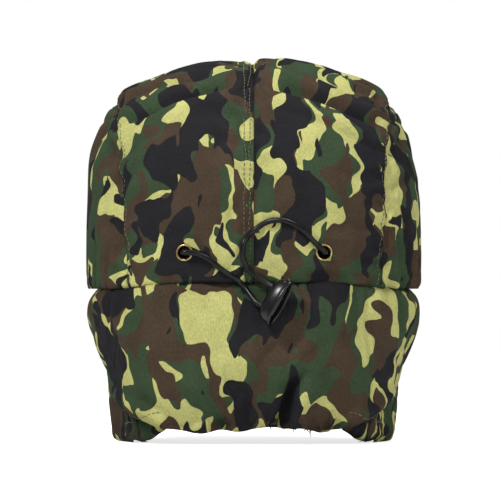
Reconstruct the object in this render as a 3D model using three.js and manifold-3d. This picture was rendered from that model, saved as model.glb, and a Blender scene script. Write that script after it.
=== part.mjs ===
// Trapper hat: a padded crown of four panels, two ear flaps, a gathered neck flap, a turned-up
// front flap, and an elastic drawcord that leaves two eyelets and ends in a bell-shaped toggle.
// Millimetres, +Z up. The wearer faces +Y, so -X is the wearer's left.
import * as THREE from 'three';
import { mergeVertices } from 'three/addons/utils/BufferGeometryUtils.js';
import Module from 'manifold-3d';

const manifold = await Module();
manifold.setup();

// ---------------------------------------------------------------- driving dimensions
const GAP = 0.4;                        // clearance between neighbouring pieces

// Crown: heights are measured up from the brim seam
const BRIM = 99;                        // height of the brim seam above the flaps' lower edge
const CROWN_HALF_WIDTH = 110;
const CROWN_HALF_DEPTH = 118;
const CROWN_HEIGHT = 150;
const WIDTH_POWER = 3;                  // squareness across the hat
const BRIM_POWER = 2.6;                 // squareness of the plan at the brim
const TOP_POWER = 3.9;                  // squareness of the shoulders over the top
const PROFILE_POWER = 2.5;              // squareness of the front-to-back profile
const SEAM_AT_BRIM = 84;                // side seam's distance from the middle, at the brim
const SEAM_SPREAD = 6;                  // how much further out it runs at the top
const CROWN_ROWS = 18;                  // divisions from the back, over the top, to the front

// Layers, as distances in from the outer face
const SHELL_IN = 1.4;
const PADDING_OUT = SHELL_IN + GAP;
const PADDING_IN = 16.4;
const LINING_OUT = PADDING_IN + GAP;
const LINING_IN = 18.2;
const SWEATBAND_OUT = 19.4;
const SWEATBAND_IN = 21;
const SWEATBAND_HEIGHT = 28;

// Flap band: depths are measured down from the brim seam
const FLAP_HALF_WIDTH = 108;
const FLAP_HALF_DEPTH = 116;
const FLAP_WIDTH_TAPER = 16;            // how far the sides come in
const FLAP_DEPTH_TAPER = 12;            // how far the back comes in
const FLAP_PADDING_OUT = 3;
const FLAP_PADDING_IN = 12;
const FLAP_FUR_OUT = FLAP_PADDING_IN + GAP;
const FLAP_FUR_IN = 20;
const EAR_BACK = -48;                   // y of the ear flap's rear edge
const EAR_FRONT = 62;                   // y of its front edge at the brim
const EAR_FRONT_TAPER = 30;             // how far the front edge slopes back at the bottom
const NECK_RISE = 9;                    // the elastic lifts the middle of the neck hem
const ELASTIC_HEIGHT = 10;

// Front flap, lying up against the crown
const FRONT_RISE = 28 * Math.PI / 180;  // angle it covers up the crown
const FRONT_STATIONS = [-3.9, -3, -2, -1, 0, 1, 2, 3, 3.9];
const FRONT_CORNER_DROP = 0.3;          // share of its height lost at the corners

// Cord, its channel and its eyelets
const CORD_RADIUS = 1.8;
const CORD_SIDES = 8;
const CORD_RISE = 23;                   // eyelets' height above the brim seam
const CORD_INSET = 6;                   // centre of the cord inside the channel
const EYELET_X = 44;
const EYELET_RADIUS = 5.5;
const EYELET_BORE = 3.1;
const EYELET_WALL = 0.6;
const EYELET_HOLE = 4.2;                // hole in the panel
const EYELET_FLANGE = 0.7;              // underside of its flange, above the panel
const EYELET_TOP = 1.8;
const EYELET_EDGE = 0.8;                // width of the slopes on its rim
const WASHER_THICKNESS = 0.4;
const CHANNEL_HEIGHT = 16;
const CHANNEL_INSET = 9.8;
const TAPE_OUT = 8.4;
const TAPE_IN = 9.3;
const TAPE_HEIGHT = 14;
const CHANNEL_START = 0.33;             // turn where the cord leaves its channel for an eyelet

// Toggle: an oval bell with two cord holes in its closed end
const TOGGLE_LEAN = 29 * Math.PI / 180;    // long axis, from upright towards +X
const TOGGLE_FACING = 22 * Math.PI / 180;  // mouth turned out from the hat
const TOGGLE_END = new THREE.Vector3(8.7, -124, BRIM - 4.8);
const TOGGLE_DEPTH = 10.5;
const TOGGLE_HOLE_OFFSET = 6.9;
const TOGGLE_HOLE_RADIUS = 2.2;
const TOGGLE_SEGMENTS = 24;
const HOLE_SEGMENTS = 16;

// Chin straps
const STRAP_X = 64.6;
const STRAP_LENGTH = 80;
const STRAP_HEIGHT = 22;
const STRAP_DEPTH = 81;                 // centre line, below the brim seam
const STRAP_THICKNESS = 1.6;
const STRAP_FRONT_LEFT = 42;
const STRAP_FRONT_RIGHT = 37.5;
const PATCH_THICKNESS = 1;
const PATCH_LENGTH = 36;
const PATCH_HEIGHT = 19;
const PATCH_GAP = 0.3;
const PATCH_MARGIN = 1;                 // from the strap's end

// ---------------------------------------------------------------- materials
const fabric = (color) => new THREE.MeshStandardMaterial({ color, roughness: 0.9, metalness: 0 });
const MATERIAL = {
  camouflage: fabric(0x4a5a3c),
  padding: fabric(0xe6e3d8),
  lining: fabric(0x24241f),
  fur: fabric(0x2b241d),
  tape: fabric(0x33352e),
  elastic: fabric(0xd8d4c8),
  strap: fabric(0x222222),
  hook: new THREE.MeshStandardMaterial({ color: 0x1c1c1c, roughness: 0.7, metalness: 0 }),
  cord: new THREE.MeshStandardMaterial({ color: 0x0e0e10, roughness: 0.55, metalness: 0 }),
  brass: new THREE.MeshStandardMaterial({ color: 0xb08a45, roughness: 0.35, metalness: 1 }),
  plastic: new THREE.MeshStandardMaterial({ color: 0x0b0b0c, roughness: 0.2, metalness: 0 }),
};

// ---------------------------------------------------------------- helpers
const hat = new THREE.Group();
const lerp = THREE.MathUtils.lerp;
const smoothstep = THREE.MathUtils.smoothstep;
const signedPower = (value, power) => Math.sign(value) * Math.abs(value) ** power;

function addPiece(name, geometry, material) {
  const mesh = new THREE.Mesh(geometry, material);
  mesh.name = name;
  hat.add(mesh);
  return mesh;
}

// Volume under the triangles: negative when the faces point inwards.
function signedVolume(positions, index) {
  const corner = [new THREE.Vector3(), new THREE.Vector3(), new THREE.Vector3()];
  let volume = 0;
  for (let i = 0; i < index.length; i += 3) {
    corner.forEach((point, k) => point.fromArray(positions, 3 * index[i + k]));
    volume += corner[0].dot(corner[1].cross(corner[2])) / 6;
  }
  return volume;
}

// Welds shared points, drops collapsed triangles and turns the faces outwards.
function closedGeometry(positions, index) {
  const raw = new THREE.BufferGeometry();
  raw.setAttribute('position', new THREE.Float32BufferAttribute(positions, 3));
  raw.setIndex(index);
  const welded = mergeVertices(raw, 1e-3);
  const points = welded.attributes.position.array;
  const kept = [];
  const corners = Array.from(welded.index.array);
  for (let i = 0; i < corners.length; i += 3) {
    const [a, b, c] = corners.slice(i, i + 3);
    if (a !== b && b !== c && c !== a) kept.push(a, b, c);
  }
  if (signedVolume(points, kept) < 0) kept.reverse();
  welded.setIndex(kept);
  welded.computeVertexNormals();
  return welded;
}

// A sheet with thickness. point(u, v, side) gives a Vector3; side 0 is the outer face and 1 the
// inner. us and vs list the grid lines. A looped sheet joins its last u line to its first.
function sheet(point, us, vs, looped = false) {
  const positions = [];
  const index = [];
  const rows = us.length;
  const columns = vs.length;
  for (const side of [0, 1]) {
    for (const u of us) {
      for (const v of vs) positions.push(...point(u, v, side).toArray());
    }
  }
  const at = (row, column, side) => side * rows * columns + (row % rows) * columns + column;
  const quad = (a, b, c, d) => index.push(a, b, c, a, c, d);
  const spans = looped ? rows : rows - 1;
  for (let i = 0; i < spans; i += 1) {
    for (let j = 0; j < columns - 1; j += 1) {
      quad(at(i, j, 0), at(i + 1, j, 0), at(i + 1, j + 1, 0), at(i, j + 1, 0));
      quad(at(i, j, 1), at(i, j + 1, 1), at(i + 1, j + 1, 1), at(i + 1, j, 1));
    }
    quad(at(i, 0, 0), at(i, 0, 1), at(i + 1, 0, 1), at(i + 1, 0, 0));
    const last = columns - 1;
    quad(at(i, last, 0), at(i + 1, last, 0), at(i + 1, last, 1), at(i, last, 1));
  }
  if (!looped) {
    for (let j = 0; j < columns - 1; j += 1) {
      quad(at(0, j, 0), at(0, j + 1, 0), at(0, j + 1, 1), at(0, j, 1));
      quad(at(rows - 1, j, 0), at(rows - 1, j, 1), at(rows - 1, j + 1, 1), at(rows - 1, j + 1, 0));
    }
  }
  return closedGeometry(positions, index);
}

// Evenly spaced grid lines.
function lines(from, to, spans) {
  return Array.from({ length: spans + 1 }, (_, i) => lerp(from, to, i / spans));
}

// A round cord through a list of points, with its section carried along without twist.
function roundSweep(points, radius, sides) {
  const positions = [];
  const index = [];
  const tangentAt = (i) => new THREE.Vector3().subVectors(
    points[Math.min(i + 1, points.length - 1)],
    points[Math.max(i - 1, 0)],
  ).normalize();
  const across = new THREE.Vector3(0, 0, 1);
  points.forEach((centre, i) => {
    const tangent = tangentAt(i);
    across.addScaledVector(tangent, -across.dot(tangent)).normalize();
    const other = new THREE.Vector3().crossVectors(tangent, across);
    for (let k = 0; k < sides; k += 1) {
      const turn = 2 * Math.PI * k / sides;
      const point = centre.clone();
      point.addScaledVector(across, radius * Math.cos(turn));
      point.addScaledVector(other, radius * Math.sin(turn));
      positions.push(...point.toArray());
    }
  });
  const ends = [0, points.length - 1];
  ends.forEach((row) => positions.push(...points[row].toArray()));
  const firstCap = points.length * sides;
  for (let k = 0; k < sides; k += 1) {
    const next = (k + 1) % sides;
    for (let i = 0; i < points.length - 1; i += 1) {
      const row = i * sides;
      index.push(row + k, row + next, row + sides + next, row + k, row + sides + next, row + sides + k);
    }
    const lastRow = ends[1] * sides;
    index.push(firstCap, next, k, firstCap + 1, lastRow + k, lastRow + next);
  }
  return closedGeometry(positions, index);
}

function toSolid(geometry, matrix = new THREE.Matrix4()) {
  const bare = geometry.clone().applyMatrix4(matrix);
  bare.deleteAttribute('normal');
  bare.deleteAttribute('uv');
  const welded = mergeVertices(bare, 1e-4);
  return new manifold.Manifold(new manifold.Mesh({
    numProp: 3,
    vertProperties: new Float32Array(welded.attributes.position.array),
    triVerts: new Uint32Array(welded.index.array),
  }));
}

function toGeometry(solid) {
  const mesh = solid.getMesh();
  return closedGeometry(Array.from(mesh.vertProperties), Array.from(mesh.triVerts));
}

// Turns local +Y to a direction and moves the origin to a place.
function facing(direction, place) {
  const turn = new THREE.Quaternion().setFromUnitVectors(new THREE.Vector3(0, 1, 0), direction);
  return new THREE.Matrix4().compose(place, turn, new THREE.Vector3(1, 1, 1));
}

function lathe(profile, segments) {
  return new THREE.LatheGeometry(profile.map(([r, y]) => new THREE.Vector2(r, y)), segments);
}

// ---------------------------------------------------------------- crown surface
// theta runs from the brim at the back (0) over the top to the brim at the front (PI).
// A station counts from the middle: 5 is the side seam, 9 is the pole beside the ear.
const SEAM_STATION = 5;
const POLE_STATION = 9;
const OUTLINE_SPANS = 60;

function profileRadius(theta, inset) {
  const along = (Math.abs(Math.cos(theta)) / (CROWN_HALF_DEPTH - inset)) ** PROFILE_POWER;
  const up = (Math.abs(Math.sin(theta)) / (CROWN_HEIGHT - inset)) ** PROFILE_POWER;
  return (along + up) ** (-1 / PROFILE_POWER);
}

function shoulderPower(theta) {
  return lerp(BRIM_POWER, TOP_POWER, Math.sin(theta) ** 2);
}

function crownPoint(theta, station, inset) {
  const halfWidth = CROWN_HALF_WIDTH - inset;
  const power = shoulderPower(theta);
  const seamShare = (SEAM_AT_BRIM + SEAM_SPREAD * Math.sin(theta)) / CROWN_HALF_WIDTH;
  const seamReach = (1 - seamShare ** WIDTH_POWER) ** (1 / power);
  const size = Math.abs(station);
  let share = seamShare * size / SEAM_STATION;
  let reach = (1 - Math.min(1, share) ** WIDTH_POWER) ** (1 / power);
  if (size > SEAM_STATION) {
    reach = seamReach * (POLE_STATION - size) / (POLE_STATION - SEAM_STATION);
    share = (1 - reach ** power) ** (1 / WIDTH_POWER);
  }
  const radius = profileRadius(theta, inset) * reach;
  return new THREE.Vector3(
    Math.sign(station) * share * halfWidth,
    -radius * Math.cos(theta),
    BRIM + GAP / 2 + radius * Math.sin(theta),
  );
}

// Half the crown's depth at a distance x from the middle and a height above the brim.
function crownDepth(x, height, inset) {
  const share = Math.min(1, Math.abs(x) / (CROWN_HALF_WIDTH - inset));
  let depth = CROWN_HALF_DEPTH - inset;
  for (let i = 0; i < 6; i += 1) {
    const theta = Math.atan2(height, Math.max(depth, 1));
    const reach = (1 - share ** WIDTH_POWER) ** (1 / shoulderPower(theta));
    const rise = Math.min(1, height / Math.max(1, (CROWN_HEIGHT - inset) * reach));
    depth = (CROWN_HALF_DEPTH - inset) * reach * (1 - rise ** PROFILE_POWER) ** (1 / PROFILE_POWER);
  }
  return depth;
}

// The crown's plan outline at a height above the brim. turn is 0 at the back and PI at the front.
function outlinePoint(turn, height, inset) {
  const x = (CROWN_HALF_WIDTH - inset) * signedPower(Math.sin(turn), 2 / WIDTH_POWER);
  const y = -Math.sign(Math.cos(turn)) * crownDepth(x, height, inset);
  return new THREE.Vector3(x, y, BRIM + height);
}

function outlineShape(inset) {
  return lines(0, 2 * Math.PI, OUTLINE_SPANS).slice(0, -1).map((turn) => {
    const point = outlinePoint(turn, CORD_RISE, inset);
    return new THREE.Vector2(point.x, point.y);
  });
}

// A level ring between two insets, centred on the cord's height.
function cordRing(outer, inner, height) {
  const shape = new THREE.Shape(outlineShape(outer));
  shape.holes.push(new THREE.Path(outlineShape(inner)));
  const ring = new THREE.ExtrudeGeometry(shape, { depth: height, bevelEnabled: false });
  ring.translate(0, 0, BRIM + CORD_RISE - height / 2);
  return ring;
}

function crownSheet(stations, outer, inner, mirror = 1) {
  const point = (theta, station, side) => crownPoint(theta, mirror * station, side ? inner : outer);
  return sheet(point, lines(0, Math.PI, CROWN_ROWS), stations);
}

// A place on the back of the crown and the direction that faces out of it.
function backOfCrown(x, height) {
  const place = new THREE.Vector3(x, -crownDepth(x, height, 0), BRIM + height);
  const step = 2;
  const slopeX = (crownDepth(x + step, height, 0) - crownDepth(x - step, height, 0)) / (2 * step);
  const slopeZ = (crownDepth(x, height + step, 0) - crownDepth(x, height - step, 0)) / (2 * step);
  return { place, out: new THREE.Vector3(-slopeX, -1, -slopeZ).normalize() };
}

// ---------------------------------------------------------------- crown
function addCrown() {
  const seamTrim = 0.02;
  const drillLength = 12;
  const middle = [seamTrim / 2, 1, 2, 3, 4, SEAM_STATION - seamTrim];
  const outside = [SEAM_STATION + seamTrim, 6, 7, 8, POLE_STATION];
  for (const [side, mirror] of [['left', -1], ['right', 1]]) {
    const { place, out } = backOfCrown(mirror * EYELET_X, CORD_RISE);
    const drill = new THREE.CylinderGeometry(EYELET_HOLE, EYELET_HOLE, drillLength, HOLE_SEGMENTS);
    const panel = toSolid(crownSheet(middle, 0, SHELL_IN, mirror));
    const drilled = panel.subtract(toSolid(drill, facing(out, place)));
    addPiece(`crown_centre_${side}`, toGeometry(drilled), MATERIAL.camouflage);
    addPiece(`crown_side_${side}`, crownSheet(outside, 0, SHELL_IN, mirror), MATERIAL.camouflage);
  }
  const across = lines(-POLE_STATION, POLE_STATION, 2 * POLE_STATION);
  const beyondTheShell = -3;
  const groove = toSolid(cordRing(beyondTheShell, CHANNEL_INSET, CHANNEL_HEIGHT));
  const padding = toSolid(crownSheet(across, PADDING_OUT, PADDING_IN)).subtract(groove);
  addPiece('crown_padding', toGeometry(padding), MATERIAL.padding);
  addPiece('crown_lining', crownSheet(across, LINING_OUT, LINING_IN), MATERIAL.lining);
  addPiece('cord_channel_tape', toGeometry(toSolid(cordRing(TAPE_OUT, TAPE_IN, TAPE_HEIGHT))), MATERIAL.tape);
}

function addSweatband() {
  const point = (turn, height, side) => outlinePoint(turn, height, side ? SWEATBAND_IN : SWEATBAND_OUT);
  const spans = 40;
  const turns = lines(0, 2 * Math.PI, spans).slice(0, -1);
  const band = sheet(point, turns, lines(GAP, SWEATBAND_HEIGHT, 2), true);
  addPiece('sweatband', band, MATERIAL.lining);
}

// ---------------------------------------------------------------- eyelets and cord
function addEyelets() {
  const washerFace = -(SHELL_IN + 2 * GAP);
  const washerBack = washerFace - WASHER_THICKNESS;
  const barrelEnd = washerBack - GAP / 2;
  const barrel = EYELET_BORE + EYELET_WALL;
  const washerBore = barrel + GAP;
  const eyelet = [
    [EYELET_BORE, barrelEnd], [EYELET_BORE, EYELET_TOP - EYELET_EDGE / 2],
    [EYELET_BORE + EYELET_EDGE, EYELET_TOP], [EYELET_RADIUS - EYELET_EDGE, EYELET_TOP],
    [EYELET_RADIUS, EYELET_FLANGE], [barrel, EYELET_FLANGE], [barrel, barrelEnd],
    [EYELET_BORE, barrelEnd],
  ];
  const washer = [
    [washerBore, washerFace], [EYELET_RADIUS, washerFace], [EYELET_RADIUS, washerBack],
    [washerBore, washerBack], [washerBore, washerFace],
  ];
  const segments = 20;
  for (const [side, mirror] of [['left', -1], ['right', 1]]) {
    const { place, out } = backOfCrown(mirror * EYELET_X, CORD_RISE);
    const pose = facing(out, place);
    for (const [name, profile] of [['eyelet', eyelet], ['eyelet_washer', washer]]) {
      const ring = toSolid(lathe(profile, segments), pose);
      addPiece(`${name}_${side}`, toGeometry(ring), MATERIAL.brass);
    }
  }
}

// The toggle's own directions: along its oval, out of its mouth, and the way it pulls.
const toggleLong = new THREE.Vector3(Math.sin(TOGGLE_LEAN), 0, Math.cos(TOGGLE_LEAN));
const togglePull = new THREE.Vector3(Math.cos(TOGGLE_LEAN), 0, -Math.sin(TOGGLE_LEAN));
const toggleOut = togglePull.clone().multiplyScalar(Math.cos(TOGGLE_FACING))
  .add(new THREE.Vector3(0, -Math.sin(TOGGLE_FACING), 0));

function toggleHole(side) {
  return TOGGLE_END.clone().addScaledVector(toggleLong, side * TOGGLE_HOLE_OFFSET);
}

// One cord: toggle, left eyelet, round the head inside the channel, right eyelet, loop, toggle.
// Strands on the crown are lists of [x, height above the brim, lift off the fabric]; the others
// are lists of distances out along the eyelet's or the toggle's axis.
const CORD_IN_EYELET = [4.4, 2, -0.5, -3, -4.6];
const CORD_IN_TOGGLE = [-4.5, -1.5, 1.5, 4.3];
const LOWER_STRAND = [[-8, 3.5, 2.2], [-20, 12, 0.8], [-29, 19, 1.2], [-37, 22.5, 2.6]];
const UPPER_STRAND = [
  [39, 29, 2.6], [30, 38, 1.2], [20, 43, 0.8], [10, 43, 0.8], [0, 37, 0.8], [-6, 30, 0.8],
  [-7.4, 22, 0.8], [-4, 13, 1.4],
];

function addDrawcord() {
  const onCrown = ([x, height, lift]) => {
    const { place, out } = backOfCrown(x, height);
    return place.addScaledVector(out, CORD_RADIUS + lift);
  };
  const throughEyelet = (mirror) => {
    const { place, out } = backOfCrown(mirror * EYELET_X, CORD_RISE);
    return CORD_IN_EYELET.map((reach) => place.clone().addScaledVector(out, reach));
  };
  const intoToggle = (side) => CORD_IN_TOGGLE.map(
    (reach) => toggleHole(side).addScaledVector(toggleOut, reach),
  );
  const channelSpans = 26;
  const channel = lines(CHANNEL_START, 2 * Math.PI - CHANNEL_START, channelSpans)
    .map((turn) => outlinePoint(-turn, CORD_RISE, CORD_INSET));
  const path = [
    ...intoToggle(-1).reverse(), ...LOWER_STRAND.map(onCrown), ...throughEyelet(-1),
    ...channel,
    ...throughEyelet(1).reverse(), ...UPPER_STRAND.map(onCrown), ...intoToggle(1),
  ];
  const curve = new THREE.CatmullRomCurve3(path, false, 'centripetal');
  const samples = curve.getPoints(2 * (path.length - 1));
  addPiece('drawcord', roundSweep(samples, CORD_RADIUS, CORD_SIDES), MATERIAL.cord);
}

// ---------------------------------------------------------------- toggle
// A solid through oval rings: distance from the closed end, half width, half length.
function ovalLoft(rings) {
  const axis = TOGGLE_END.clone();
  const short = new THREE.Vector3().crossVectors(toggleOut, toggleLong);
  const positions = [];
  const index = [];
  for (const [reach, halfWidth, halfLength] of rings) {
    for (let k = 0; k < TOGGLE_SEGMENTS; k += 1) {
      const turn = 2 * Math.PI * k / TOGGLE_SEGMENTS;
      const point = axis.clone().addScaledVector(toggleOut, reach);
      point.addScaledVector(short, halfWidth * Math.cos(turn));
      point.addScaledVector(toggleLong, halfLength * Math.sin(turn));
      positions.push(...point.toArray());
    }
  }
  const capStart = rings.length * TOGGLE_SEGMENTS;
  for (const ring of [rings[0], rings.at(-1)]) {
    positions.push(...axis.clone().addScaledVector(toggleOut, ring[0]).toArray());
  }
  for (let k = 0; k < TOGGLE_SEGMENTS; k += 1) {
    const next = (k + 1) % TOGGLE_SEGMENTS;
    for (let ring = 0; ring < rings.length - 1; ring += 1) {
      const row = ring * TOGGLE_SEGMENTS;
      const above = row + TOGGLE_SEGMENTS;
      index.push(row + k, row + next, above + next, row + k, above + next, above + k);
    }
    const lastRow = (rings.length - 1) * TOGGLE_SEGMENTS;
    index.push(capStart, next, k, capStart + 1, lastRow + k, lastRow + next);
  }
  return closedGeometry(positions, index);
}

const BELL_RINGS = [
  [0, 3.4, 10.2], [1, 5, 12.6], [4, 6.4, 14.9], [TOGGLE_DEPTH, 7, 16],
  [TOGGLE_DEPTH, 5.9, 14.9], [4, 5.2, 13.7], [2.2, 4.1, 11.6],
];
const INSERT_RINGS = [[5.2, 4.7, 13], [7.4, 5, 13.4], [7.4, 4, 12.4], [6, 3.7, 12]];

function addToggle() {
  const bell = toSolid(ovalLoft(BELL_RINGS));
  const drillLength = 8;
  const drill = new THREE.CylinderGeometry(
    TOGGLE_HOLE_RADIUS, TOGGLE_HOLE_RADIUS, drillLength, HOLE_SEGMENTS,
  );
  const drilled = [-1, 1].reduce(
    (solid, side) => solid.subtract(toSolid(drill, facing(toggleOut, toggleHole(side)))),
    bell,
  );
  addPiece('toggle_shell', toGeometry(drilled), MATERIAL.plastic);
  addPiece('toggle_insert', ovalLoft(INSERT_RINGS), MATERIAL.plastic);
}

// ---------------------------------------------------------------- flap band
function bandHalfWidth(depth) {
  return FLAP_HALF_WIDTH - FLAP_WIDTH_TAPER * smoothstep(depth, 5, 70);
}

function bandHalfDepth(depth) {
  return FLAP_HALF_DEPTH - FLAP_DEPTH_TAPER * smoothstep(depth, 20, BRIM);
}

const LAYERS = [
  ['shell', 0, SHELL_IN, MATERIAL.camouflage],
  ['padding', FLAP_PADDING_OUT, FLAP_PADDING_IN, MATERIAL.padding],
  ['fur', FLAP_FUR_OUT, FLAP_FUR_IN, MATERIAL.fur],
];

function addEarFlaps() {
  for (const [side, mirror] of [['left', -1], ['right', 1]]) {
    for (const [layer, outer, inner, material] of LAYERS) {
      const point = (along, share, face) => {
        const depth = lerp(GAP / 2, BRIM, share);
        const inset = face ? inner : outer;
        const front = EAR_FRONT - EAR_FRONT_TAPER * share ** 3;
        const y = lerp(EAR_BACK, front, along);
        const reach = (1 - (Math.abs(y) / (bandHalfDepth(depth) - inset)) ** BRIM_POWER) ** (1 / WIDTH_POWER);
        return new THREE.Vector3(mirror * (bandHalfWidth(depth) - inset) * reach, y, BRIM - depth);
      };
      const flap = sheet(point, lines(0, 1, 9), lines(0, 1, 8));
      addPiece(`ear_flap_${side}_${layer}`, flap, material);
    }
  }
}

// turn is 0 in the middle of the back and +-1 at the ear flaps.
function neckPoint(turn, depth, inset) {
  const halfDepth = bandHalfDepth(depth) - inset;
  const seam = -EAR_BACK + GAP;
  const limit = Math.acos((seam / halfDepth) ** (BRIM_POWER / 2));
  const angle = turn * limit;
  const halfWidth = bandHalfWidth(depth) - inset;
  return new THREE.Vector3(
    halfWidth * signedPower(Math.sin(angle), 2 / WIDTH_POWER),
    -halfDepth * Math.cos(angle) ** (2 / BRIM_POWER),
    BRIM - depth,
  );
}

// The elastic lifts the hem between the two corners; it fades out over this range of turns.
const LIFT_FADE = [0.17, 0.34];

function neckHem(turn) {
  return BRIM - NECK_RISE * (1 - smoothstep(Math.abs(turn), ...LIFT_FADE));
}

function addNeckFlap() {
  for (const [layer, outer, inner, material] of LAYERS) {
    const point = (turn, share, face) => neckPoint(
      turn,
      lerp(GAP / 2, neckHem(turn), share),
      face ? inner : outer,
    );
    addPiece(`neck_flap_${layer}`, sheet(point, lines(-1, 1, 24), lines(0, 1, 6)), material);
  }
  const elasticOut = SHELL_IN + GAP;
  const elasticIn = FLAP_PADDING_OUT - GAP;
  const elasticSpan = 1 / 3;
  const aboveHem = 2;
  const elastic = (turn, up, face) => neckPoint(
    turn,
    neckHem(turn) - aboveHem - up * ELASTIC_HEIGHT,
    face ? elasticIn : elasticOut,
  );
  const turns = lines(-elasticSpan, elasticSpan, 8);
  addPiece('neck_elastic', sheet(elastic, turns, [0, 1]), MATERIAL.elastic);
}

// ---------------------------------------------------------------- front flap
// It lies turned up on the crown, so its shell is inside and its fur faces forward.
function addFrontFlap() {
  const foot = 0.01;
  for (const [layer, inner, outer, material] of LAYERS) {
    const point = (up, station, face) => {
      const edge = Math.abs(station) / FRONT_STATIONS.at(-1);
      const rise = FRONT_RISE * (1 - FRONT_CORNER_DROP * edge ** 4);
      const theta = Math.PI - foot - up * rise;
      return crownPoint(theta, station, -(GAP + (face ? inner : outer)));
    };
    addPiece(`front_flap_${layer}`, sheet(point, lines(0, 1, 5), FRONT_STATIONS), material);
  }
}

// ---------------------------------------------------------------- chin straps
function addChinStraps() {
  const patchShift = (STRAP_THICKNESS + PATCH_THICKNESS) / 2 + PATCH_GAP;
  const straps = [
    ['left', -1, STRAP_FRONT_LEFT, 'chin_hook_patch', MATERIAL.hook],
    ['right', 1, STRAP_FRONT_RIGHT, 'chin_loop_patch', MATERIAL.strap],
  ];
  for (const [side, mirror, front, patchName, patchMaterial] of straps) {
    const strap = new THREE.BoxGeometry(STRAP_THICKNESS, STRAP_LENGTH, STRAP_HEIGHT);
    const strapMesh = addPiece(`chin_strap_${side}`, strap, MATERIAL.strap);
    strapMesh.position.set(mirror * STRAP_X, front - STRAP_LENGTH / 2, BRIM - STRAP_DEPTH);
    const patch = new THREE.BoxGeometry(PATCH_THICKNESS, PATCH_LENGTH, PATCH_HEIGHT);
    const patchMesh = addPiece(patchName, patch, patchMaterial);
    patchMesh.position.copy(strapMesh.position);
    patchMesh.position.x -= patchShift;
    patchMesh.position.y -= (STRAP_LENGTH - PATCH_LENGTH) / 2 - PATCH_MARGIN;
  }
}

// ---------------------------------------------------------------- assembly
addCrown();
addSweatband();
addEyelets();
addDrawcord();
addToggle();
addNeckFlap();
addEarFlaps();
addFrontFlap();
addChinStraps();

// The origin is the middle of the hat's bounding box, at the level it stands on.
const box = new THREE.Box3().setFromObject(hat);
const centre = box.getCenter(new THREE.Vector3());
hat.position.set(-centre.x, -centre.y, -box.min.z);

export default hat;
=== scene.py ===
"""Looks for a padded trapper hat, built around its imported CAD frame.

The crown and the flaps are simulated as cloth between their pinned seams, then stitched, lined and
given a printed woodland fabric. Lengths are millimetres until a mesh is made; Blender gets metres.
"""
import math

import bpy
import numpy as np
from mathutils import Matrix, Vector, noise
from mathutils.bvhtree import BVHTree


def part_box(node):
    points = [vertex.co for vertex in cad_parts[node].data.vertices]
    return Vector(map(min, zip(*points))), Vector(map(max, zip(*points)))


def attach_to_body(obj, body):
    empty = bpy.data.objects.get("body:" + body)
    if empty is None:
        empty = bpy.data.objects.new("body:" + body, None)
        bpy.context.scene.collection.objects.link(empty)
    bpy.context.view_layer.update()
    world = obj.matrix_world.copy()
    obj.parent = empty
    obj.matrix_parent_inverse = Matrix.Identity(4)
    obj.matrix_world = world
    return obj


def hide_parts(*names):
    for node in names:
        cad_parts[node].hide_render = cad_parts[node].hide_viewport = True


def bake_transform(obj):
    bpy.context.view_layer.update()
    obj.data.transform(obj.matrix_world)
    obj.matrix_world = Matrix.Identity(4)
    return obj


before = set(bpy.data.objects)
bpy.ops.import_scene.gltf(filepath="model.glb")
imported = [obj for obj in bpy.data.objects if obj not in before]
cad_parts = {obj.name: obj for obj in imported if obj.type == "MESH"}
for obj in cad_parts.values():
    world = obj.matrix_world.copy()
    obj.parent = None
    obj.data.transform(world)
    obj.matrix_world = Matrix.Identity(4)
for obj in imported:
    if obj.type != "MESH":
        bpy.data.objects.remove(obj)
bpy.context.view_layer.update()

MM = 0.001


def box_mm(node):
    low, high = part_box(node)
    return np.array(low) / MM, np.array(high) / MM


# ------------------------------------------------------------------ driving dimensions
CENTRE_LOW, CENTRE_HIGH = box_mm("crown_centre_right")
BRIM = float(box_mm("crown_padding")[0][2])
MIDDLE_Y = float(CENTRE_LOW[1] + CENTRE_HIGH[1]) / 2
HALF_WIDTH = float(box_mm("crown_side_right")[1][0])
HALF_DEPTH = float(CENTRE_HIGH[1] - CENTRE_LOW[1]) / 2
HEIGHT = float(CENTRE_HIGH[2]) - BRIM

WIDTH_POWER = 3.0          # squareness across the hat
BRIM_POWER = 2.6           # squareness of the plan at the brim
TOP_POWER = 3.9            # squareness of the shoulders over the top
PROFILE_POWER = 2.5        # squareness of the front-to-back profile
SEAM_AT_BRIM = 84.0        # side seam's distance from the middle at the brim
SEAM_SPREAD = 6.0
CROWN_INSET = 3.2          # room for the fabric to puff
BRIM_ARCH = 4.0            # how far the brim line rises in the middle of the back
SHOULDER_FULLNESS = 2.8    # extra fullness along the side seams, high on the crown
PUCKER_HEIGHT = 2.4
PULL_HEIGHT = 3.0
BRIM_ROLL = 2.6
BRIM_RADIUS = 8
TOP_PEAK = 5.0             # how far the top falls away beside the centre seam
SEAM_DEPTH = 1.8
SEAM_WIDTH = 3.2
LINING_INSET = 17.0

FLAP_HALF_WIDTH = 108.0
FLAP_HALF_DEPTH = 116.0
FLAP_WIDTH_TAPER = 16.0
FLAP_DEPTH_TAPER = 12.0
FLAP_THICKNESS = 13.0
TUCK = 1.5                 # how far the flaps' tops are tucked up behind the crown
EAR_BACK = -48.0 + MIDDLE_Y
EAR_FRONT = 62.0 + MIDDLE_Y
EAR_FRONT_TAPER = 30.0
FLAP_CLOTH = {"growth": 0.035, "pressure": 1.2}
END_ROLL = 1.4             # how far, and over what radius, a flap's sewn ends and hem turn in
END_RADIUS = 4
HEM_ROLL = 3.6
HEM_RADIUS = 7
FREE_ROLL = 4.2
FREE_RADIUS = 8
FUR_INSET = 11.8
FUR_BASE = 3.4             # thickness of the fur's backing
FUR_LENGTH = 6.5
FUR_SPACING = 1.8
QUILT_PITCH = 40.0
QUILT_DEPTH = 2.2
FRONT_RISE = math.radians(28)
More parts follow.
